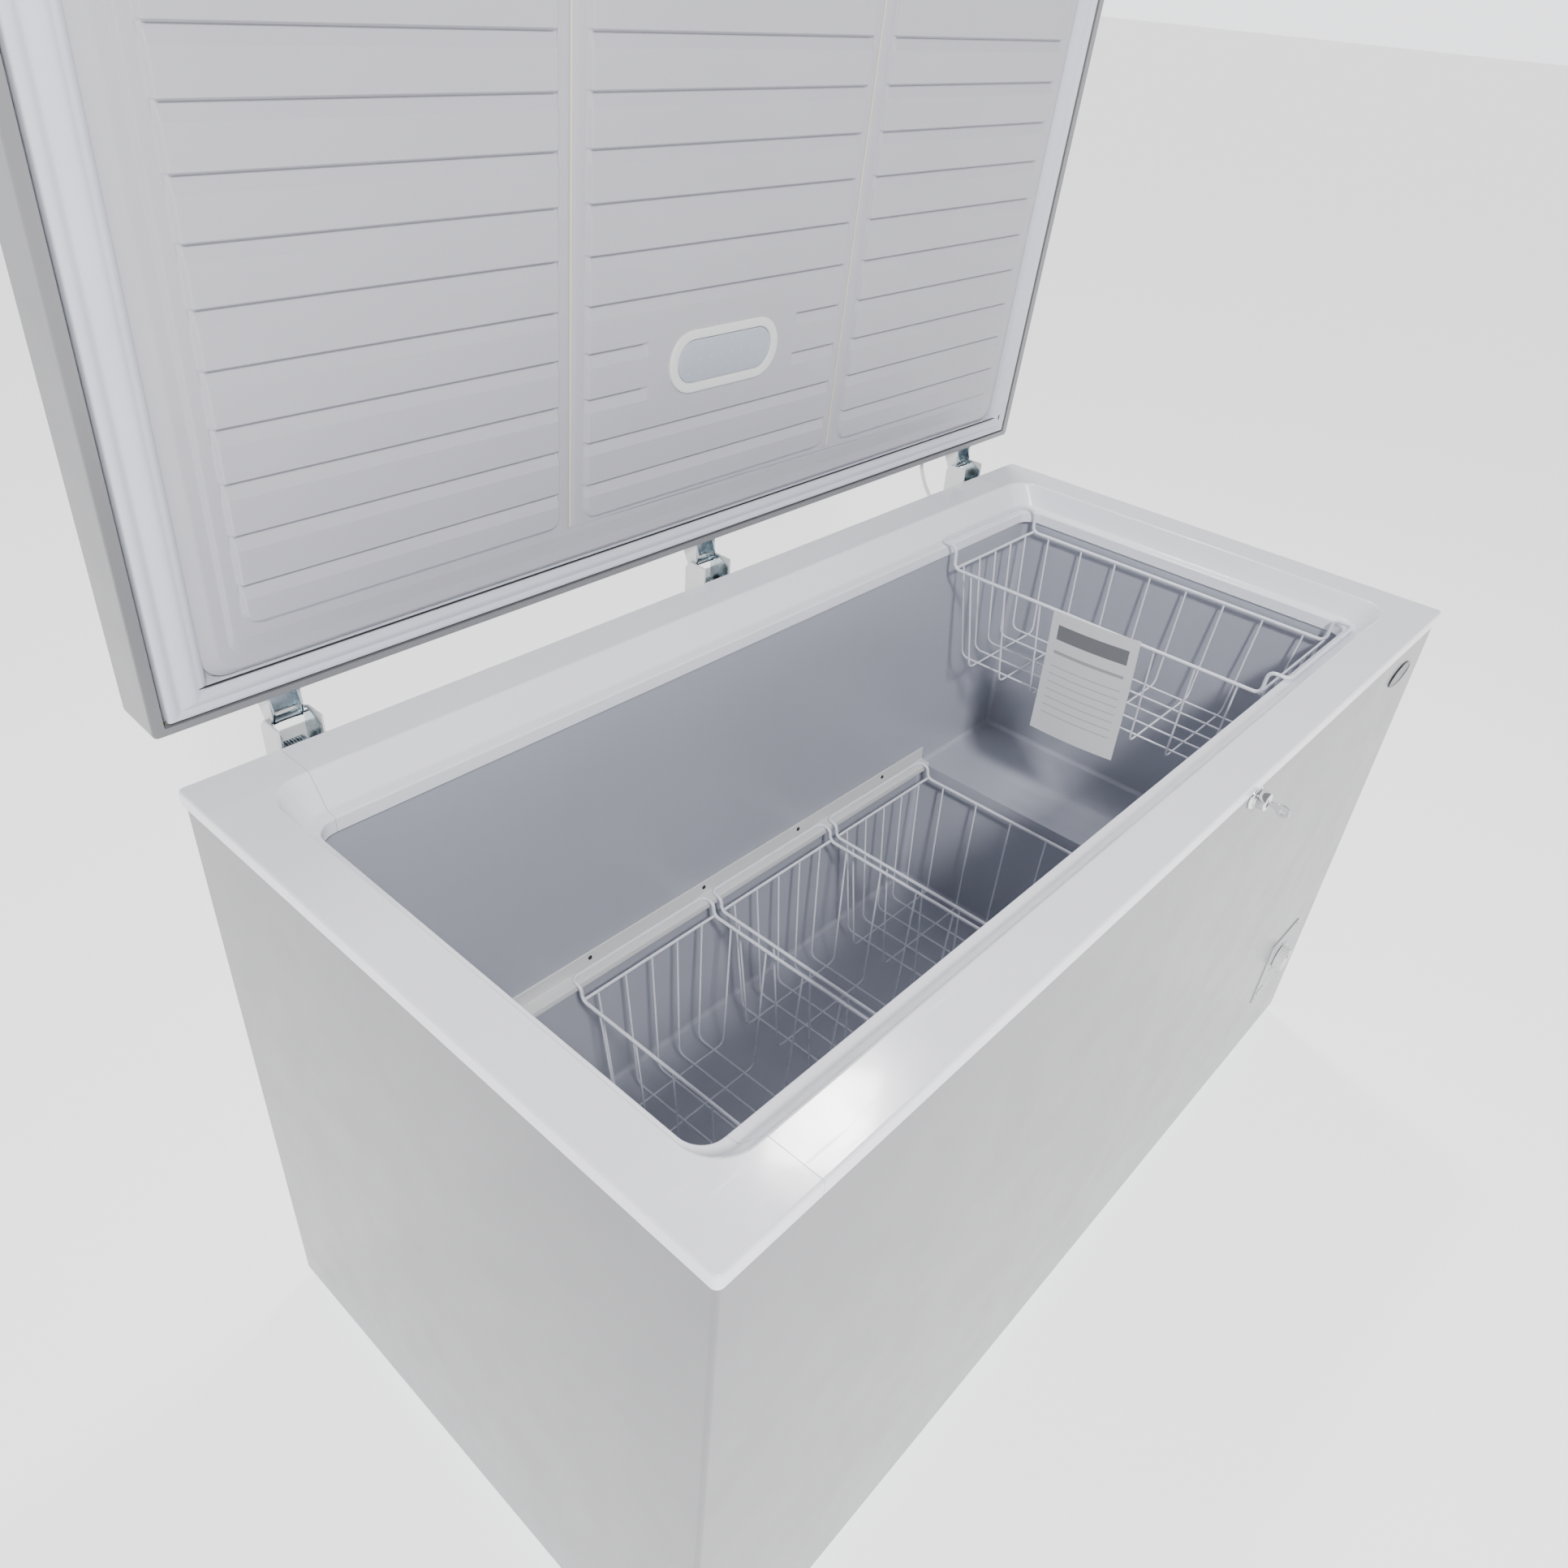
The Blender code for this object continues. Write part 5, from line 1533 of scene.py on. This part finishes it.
def make_hinges(sizes):
    """White covers, and the rods, sleeves and springs that show between their cheeks."""
    pivot = (HINGE.y, HINGE.z)
    for side in HINGE_SIDES:
        low, high = place_of(f"hinge_cover_lower_{side}")
        x = (low.x + high.x) / 2
        front, back, top = low.y, high.y, high.z
        cheek = section(
            [
                (front, 0.70), (front, top), (back - 0.007, top), (back, top - 0.009),
                (back, low.z), (front, low.z), (front, 0.70),
            ],
            [0.0012, 0.004, 0.004, 0.002, 0.001], 4,
        )
        outer = round_edges(prism_mesh(cheek, low.x, high.x), 0.0009, 2, 50)
        hollow = prism_mesh(
            [
                (front - 0.01, low.z + 0.0022), (back - 0.0024, low.z + 0.0022),
                (back - 0.0024, 0.774), (back + 0.01, 0.774), (back + 0.01, top + 0.02),
                (front - 0.01, top + 0.02),
            ],
            low.x + 0.0024,
            high.x - 0.0024,
        )
        shroud, node = carved(outer, [hollow]), f"hinge_cover_lower_{side}"
        add(f"hinge_shroud_{side}", shroud, "white_cover_plastic", "cabinet", [node])
        for node, finish in (("bracket", "zinc_steel"), ("leaf", "zinc_steel"), ("pin", "chrome")):
            refinish(f"hinge_{node}_{side}", finish)
        sleeve = lathe_mesh(
            [
                (0.0033, 0.0138), (0.0042, 0.0138), (0.0042, 0.0100), (0.0038, 0.0095),
                (0.0038, -0.0095), (0.0042, -0.0100), (0.0042, -0.0138), (0.0033, -0.0138),
                (0.0033, 0.0138),
            ],
            (x, *pivot), (1, 0, 0), 24,
        )
        add(f"hinge_sleeve_{side}", sleeve, "zinc_steel", "cabinet")
        rod = lathe_mesh(
            [
                (0, 0.0140), (0.0022, 0.0140), (0.0030, 0.0132), (0.0030, 0.0105), (0.0024, 0.0100),
                (0.0024, -0.0100), (0.0030, -0.0105), (0.0030, -0.0132), (0.0022, -0.0140),
                (0, -0.0140),
            ],
            (x, HINGE.y - 0.0135, HINGE.z + 0.0115), (1, 0, 0), 20,
        )
        add(f"hinge_rod_{side}", rod, "chrome", "lid", lid=True)
        spring = coil((HINGE.y - 0.004, 0.757), x - 0.0145, 0.0082, 9, 0.029)
        wires(f"hinge_spring_{side}", [(spring, False)], 0.0011, 0, "zinc_steel", "cabinet", sides=7)
        block = round_edges(
            box_mesh((x - 0.0196, HINGE.y - 0.013, 0.735), (x + 0.0196, HINGE.y + 0.003, 0.7462)), 0.0012, 2
        )
        add(f"hinge_seat_{side}", block, "black_plastic", "cabinet")


def make_upper_covers(sizes):
    """Narrow white covers on the lid, open towards the front."""
    near = -(HINGE.y - LID_Y) + 0.0005
    outside = section(
        [
            (near, 0.020), (near, 0.052), (-0.024, 0.050), (-0.016, 0.030), (-0.0135, 0.019),
            (0.003, 0.010), (0.006, 0.003), (-0.004, -0.005), (near, -0.003), (near, 0.020),
        ],
        [0.0008, 0.003, 0.012, 0.006, 0.004, 0.002, 0.003, 0.001], 4,
    )
    inside = [
        (-0.034, -0.012), (-0.034, 0.050), (-0.0255, 0.048), (-0.0175, 0.0285), (-0.015, 0.0172),
        (0.002, 0.0082), (0.009, 0.0045), (0.009, -0.012),
    ]
    for side in HINGE_SIDES:
        low, high = place_of(f"hinge_cover_upper_{side}")
        outer = prism_mesh(at_hinge(outside), low.x, high.x)
        hollow = prism_mesh(at_hinge(inside), low.x + 0.0018, high.x - 0.0018)
        x = (low.x + high.x) / 2
        hole = plug_mesh(0.0035, 0.04, -0.04, (x, HINGE.y, HINGE.z), (1, 0, 0), 24)
        shell = carved(round_edges(outer, 0.0007, 2, 50), [hollow, hole])
        node = f"hinge_cover_upper_{side}"
        add(f"hinge_hood_{side}", shell, "white_cover_plastic", "lid", [node], lid=True)


LEAD_ROUTE = (
    (0.515, 0.405, 0.8236), (0.515, 0.405, 0.812), (0.517, 0.402, 0.795), (0.521, 0.394, 0.772),
    (0.526, 0.380, 0.750), (0.530, 0.366, 0.739), (0.531, 0.354, 0.736),
)


def smooth_route(route, samples):
    """Points of a smooth curve through the route's own points."""
    points = [Vector(p) for p in route]
    ends = [2 * points[0] - points[1], *points, 2 * points[-1] - points[-2]]
    line = []
    for a, b, c, d in zip(ends, ends[1:], ends[2:], ends[3:]):
        for step in range(samples):
            t = step / samples
            line.append(
                0.5
                * (2 * b + (c - a) * t + (2 * a - 5 * b + 4 * c - d) * t**2 + (3 * b - a - 3 * c + d) * t**3)
            )
    line.append(points[-1])
    return line


def make_lead(sizes):
    """Lamp lead from the lid's rear edge to the cabinet's back."""
    line = smooth_route(LEAD_ROUTE, 8)
    rows = []
    for index, point in enumerate(line):
        along = (line[min(index + 1, len(line) - 1)] - line[max(index - 1, 0)]).normalized()
        side = along.cross(Vector((1, 0, 0))).normalized()
        other = along.cross(side)
        row = []
        for step in range(14):
            angle = 2 * math.pi * step / 14
            row.append(point + (side * math.cos(angle) + other * math.sin(angle)) * sizes.lead_radius)
        rows.append(row)
    bm = outward(loft_mesh(rows, ring=True, cap_first=True, cap_last=True))
    mesh = mesh_of("lead", bm)
    mesh.transform(HOME)
    mesh.shade_smooth()
    mesh.set_sharp_from_angle(angle=math.radians(50))
    mesh.materials.append(MATERIALS["white_cover_plastic"])
    made = linked("lead", mesh)
    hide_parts("lamp_lead")
    start = HOME @ line[-1]
    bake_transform(made)
    profile = [(0.0031, 0.0040), (0.0042, 0.0040), (0.0052, 0.0028), (0.0075, 0.0022)]
    profile += [(0.0078, 0.0006), (0.0031, 0.0006), (0.0031, 0.0040)]
    grommet = lathe_mesh(profile, (0.531, 0.3535, 0.736), (0.06, 1, 0.25), 24)
    add("lead_grommet", grommet, "grey_plastic", "cabinet")


# ---------------------------------------------------------------- underside and machinery


def make_feet(sizes):
    """Turned feet with a ribbed tread."""
    for end in ("front", "rear"):
        for side in ("left", "right"):
            node = f"foot_{end}_{side}"
            low, high = place_of(node)
            middle = middle_of(low, high)
            profile = [
                (0, high.z), (0.0160, high.z), (0.0162, 0.0105), (0.0172, 0.0090), (0.0205, 0.0080),
                (0.0218, 0.0065), (0.0220, 0.0015), (0.0210, 0.0002), (0.0170, 0.0000),
                (0.0165, 0.0012), (0, 0.0012),
            ]
            foot = lathe_mesh(profile, (middle.x, middle.y, 0), (0, 0, 1), 48, 12, 0.0008, (4, 5, 6))
            add(f"{node}_pad", foot, "black_plastic", "cabinet", [node])


KEPT_NODES = {
    "insulation_foam": "rigid_foam",
    "lid_foam": "rigid_foam",
    "base_plate": "zinc_steel",
    "machine_bulkhead": "zinc_steel",
    "compressor_tray": "zinc_steel",
    "compressor": "black_enamel",
    "terminal_cover": "black_plastic",
    "refrigerant_tube": "copper",
    "filter_drier": "copper",
    "drain_tube": "grey_plastic",
    "cord_gland": "black_plastic",
}


def make_machinery(sizes):
    """Finishes of the frame's own machinery nodes, and small parts fixed to them."""
    for node, finish in KEPT_NODES.items():
        refinish(node, finish)
    x, y, _ = middle_of(*place_of("compressor"))
    ring = [(0.0745, 0.122), (0.0812, 0.1215), (0.0812, 0.1185), (0.0745, 0.118), (0.0745, 0.122)]
    seam = lathe_mesh(ring, (x, y, 0), (0, 0, 1), 48)
    add("compressor_seam", seam, "black_enamel", "cabinet")
    stub = plug_mesh(0.0042, 0.030, 0, (x + 0.055, y + 0.045, 0.150), (0.6, 0.6, 0.2), 20)
    add("charging_stub", stub, "copper", "cabinet")


# ---------------------------------------------------------------- stage


def soft_light(name, place, target, size, power, tone=(1, 1, 1)):
    lamp = bpy.data.lights.new(name, "AREA")
    lamp.shape = "RECTANGLE"
    lamp.size, lamp.size_y = size
    lamp.energy = power
    lamp.color = tone
    made = linked(name, lamp)
    made.location = place
    made.rotation_euler = (Vector(target) - Vector(place)).to_track_quat("-Z", "Y").to_euler()


def make_stage(sizes):
    """Pale floor, soft studio light and the camera."""
    bm = bmesh.new()
    bmesh.ops.create_grid(bm, x_segments=2, y_segments=2, size=60)
    floor = linked("floor", mesh_of("floor", bm))
    finish = Finish("pale_floor")
    base = finish.blend(finish.noise(0.8, 2.0), (0.86, 0.86, 0.87), (0.90, 0.90, 0.91))
    finish.surface(
        base_color=base, roughness=0.8, emission_color=(1, 1, 1), emission_strength=1.4
    )
    floor.data.materials.append(finish.material)

    world = bpy.data.worlds.new("studio")
    world.use_nodes = True
    background = world.node_tree.nodes["Background"]
    background.inputs["Color"].default_value = (0.95, 0.96, 1.0, 1)
    nodes, links = world.node_tree.nodes, world.node_tree.links
    direction = nodes.new("ShaderNodeTexCoord")
    split = nodes.new("ShaderNodeSeparateXYZ")
    rise = nodes.new("ShaderNodeMapRange")
    links.new(direction.outputs["Generated"], split.inputs[0])
    links.new(split.outputs["Z"], rise.inputs["Value"])
    links.new(rise.outputs["Result"], background.inputs["Strength"])
    for socket, value in zip(rise.inputs[1:5], (0.10, 0.28, 2.4, 0.36)):
        socket.default_value = value
    bpy.context.scene.world = world

    soft_light("key", (-2.1, -2.75, 3.8), (0, 0, 0.75), (0.5, 0.5), 230)
    soft_light("rear_window", (1.10, 0.79, 3.2), (-0.5, -0.3, 0.8), (0.34, 0.34), 40)

    camera = bpy.data.cameras.new("camera")
    camera.lens = 27.37
    camera.sensor_width = 36
    camera.clip_start = 0.05
    made = linked("camera", camera)
    made.location = (-1.0417, -0.6423 + MIDDLE_Y, 1.4628)
    made.rotation_euler = (math.radians(55.065), math.radians(-4.122), math.radians(-47.884))
    bpy.context.scene.camera = made


# ---------------------------------------------------------------- add-on


class FreezerPiece:
    """Shared by the operators below: each runs its maker with the scene's sizes."""

    bl_options = {"REGISTER", "UNDO"}

    def execute(self, context):
        type(self).maker(context.scene.freezer_sizes)
        return {"FINISHED"}


class FREEZER_OT_finishes(bpy.types.Operator):
    """Make every material"""

    bl_idname = "freezer.finishes"
    bl_label = "Finishes"

    def execute(self, context):
        make_materials(context.scene.freezer_colours)
        return {"FINISHED"}


class FREEZER_OT_stage(FreezerPiece, bpy.types.Operator):
    """Floor, lights and camera"""

    bl_idname = "freezer.stage"
    bl_label = "Stage"
    maker = make_stage


class FREEZER_OT_cabinet(FreezerPiece, bpy.types.Operator):
    """Painted sheet round the front and sides"""

    bl_idname = "freezer.cabinet"
    bl_label = "Cabinet sheet"
    maker = make_cabinet


class FREEZER_OT_rear(FreezerPiece, bpy.types.Operator):
    """Rear panel with its ribs and screws"""

    bl_idname = "freezer.rear"
    bl_label = "Rear panel"
    maker = make_rear


class FREEZER_OT_rim(FreezerPiece, bpy.types.Operator):
    """Four mouldings of the rim"""

    bl_idname = "freezer.rim"
    bl_label = "Rim"
    maker = make_rim


class FREEZER_OT_tub(FreezerPiece, bpy.types.Operator):
    """Coated tub of the food compartment"""

    bl_idname = "freezer.tub"
    bl_label = "Tub"
    maker = make_tub


class FREEZER_OT_rails(FreezerPiece, bpy.types.Operator):
    """Basket rails and their screws"""

    bl_idname = "freezer.rails"
    bl_label = "Rails"
    maker = make_rails


class FREEZER_OT_drain(FreezerPiece, bpy.types.Operator):
    """Drain plug in the tub's floor"""

    bl_idname = "freezer.drain"
    bl_label = "Drain plug"
    maker = make_drain


class FREEZER_OT_lower_baskets(FreezerPiece, bpy.types.Operator):
    """Three wire baskets on the rails"""

    bl_idname = "freezer.lower_baskets"
    bl_label = "Lower baskets"
    maker = make_lower_baskets


class FREEZER_OT_upper_basket(FreezerPiece, bpy.types.Operator):
    """Wire basket on the rim's ledge"""

    bl_idname = "freezer.upper_basket"
    bl_label = "Upper basket"
    maker = make_upper_basket


class FREEZER_OT_card(FreezerPiece, bpy.types.Operator):
    """Blank card on the upper basket"""

    bl_idname = "freezer.card"
    bl_label = "Blank card"
    maker = make_card


class FREEZER_OT_lid_skin(FreezerPiece, bpy.types.Operator):
    """Painted shell of the lid"""

    bl_idname = "freezer.lid_skin"
    bl_label = "Lid shell"
    maker = make_lid_skin


class FREEZER_OT_gasket(FreezerPiece, bpy.types.Operator):
    """Lobed seal of the lid"""

    bl_idname = "freezer.gasket"
    bl_label = "Seal"
    maker = make_gasket


class FREEZER_OT_lid_panel(FreezerPiece, bpy.types.Operator):
    """Moulded inner panel of the lid"""

    bl_idname = "freezer.lid_panel"
    bl_label = "Lid panel"
    maker = make_lid_panel


class FREEZER_OT_lamp(FreezerPiece, bpy.types.Operator):
    """Lamp in the lid"""

    bl_idname = "freezer.lamp"
    bl_label = "Lamp"
    maker = make_lamp


class FREEZER_OT_handle(FreezerPiece, bpy.types.Operator):
    """Grip on the lid's front edge"""

    bl_idname = "freezer.handle"
    bl_label = "Grip"
    maker = make_handle


class FREEZER_OT_lock(FreezerPiece, bpy.types.Operator):
    """Lock, key and catch"""

    bl_idname = "freezer.lock"
    bl_label = "Lock"
    maker = make_lock


class FREEZER_OT_badge(FreezerPiece, bpy.types.Operator):
    """Blank badge"""

    bl_idname = "freezer.badge"
    bl_label = "Badge"
    maker = make_badge


class FREEZER_OT_controls(FreezerPiece, bpy.types.Operator):
    """Control plate, dial and signal lens"""

    bl_idname = "freezer.controls"
    bl_label = "Controls"
    maker = make_controls


class FREEZER_OT_grille(FreezerPiece, bpy.types.Operator):
    """Grille of the machine compartment"""

    bl_idname = "freezer.grille"
    bl_label = "Grille"
    maker = make_grille


class FREEZER_OT_hinges(FreezerPiece, bpy.types.Operator):
    """Lower shrouds, rods, sleeves and springs of the hinges"""

    bl_idname = "freezer.hinges"
    bl_label = "Hinges"
    maker = make_hinges


class FREEZER_OT_upper_covers(FreezerPiece, bpy.types.Operator):
    """Upper hoods of the hinges"""

    bl_idname = "freezer.upper_covers"
    bl_label = "Hinge hoods"
    maker = make_upper_covers


class FREEZER_OT_lead(FreezerPiece, bpy.types.Operator):
    """Lead of the lid's lamp"""

    bl_idname = "freezer.lead"
    bl_label = "Lamp lead"
    maker = make_lead


class FREEZER_OT_feet(FreezerPiece, bpy.types.Operator):
    """Four feet"""

    bl_idname = "freezer.feet"
    bl_label = "Feet"
    maker = make_feet


class FREEZER_OT_machinery(FreezerPiece, bpy.types.Operator):
    """Finishes of the machinery"""

    bl_idname = "freezer.machinery"
    bl_label = "Machinery"
    maker = make_machinery


OPERATORS = (
    FREEZER_OT_finishes,
    FREEZER_OT_stage,
    FREEZER_OT_cabinet,
    FREEZER_OT_rear,
    FREEZER_OT_rim,
    FREEZER_OT_tub,
    FREEZER_OT_rails,
    FREEZER_OT_drain,
    FREEZER_OT_lower_baskets,
    FREEZER_OT_upper_basket,
    FREEZER_OT_card,
    FREEZER_OT_lid_skin,
    FREEZER_OT_gasket,
    FREEZER_OT_lid_panel,
    FREEZER_OT_lamp,
    FREEZER_OT_handle,
    FREEZER_OT_lock,
    FREEZER_OT_badge,
    FREEZER_OT_controls,
    FREEZER_OT_grille,
    FREEZER_OT_hinges,
    FREEZER_OT_upper_covers,
    FREEZER_OT_lead,
    FREEZER_OT_feet,
    FREEZER_OT_machinery,
)


class FREEZER_PT_panel(bpy.types.Panel):
    """Lists the freezer's pieces, sizes and colours"""

    bl_idname = "FREEZER_PT_panel"
    bl_label = "Chest Freezer"
    bl_space_type = "VIEW_3D"
    bl_region_type = "UI"
    bl_category = "Freezer"

    def draw(self, context):
        for group in (context.scene.freezer_sizes, context.scene.freezer_colours):
            column = self.layout.column(align=True)
            for key in group.bl_rna.properties.keys():
                if key not in ("rna_type", "name"):
                    column.prop(group, key)
        for operator in OPERATORS:
            self.layout.operator(operator.bl_idname)


CLASSES = (FreezerSizes, FreezerColours, *OPERATORS, FREEZER_PT_panel)


def register():
    for item in CLASSES:
        bpy.utils.register_class(item)
    bpy.types.Scene.freezer_sizes = bpy.props.PointerProperty(type=FreezerSizes)
    bpy.types.Scene.freezer_colours = bpy.props.PointerProperty(type=FreezerColours)


def unregister():
    del bpy.types.Scene.freezer_colours
    del bpy.types.Scene.freezer_sizes
    for item in reversed(CLASSES):
        bpy.utils.unregister_class(item)


def main():
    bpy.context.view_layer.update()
    register()
    for operator in OPERATORS:
        group, name = operator.bl_idname.split(".")
        getattr(getattr(bpy.ops, group), name)()


if __name__ == "__main__":
    main()
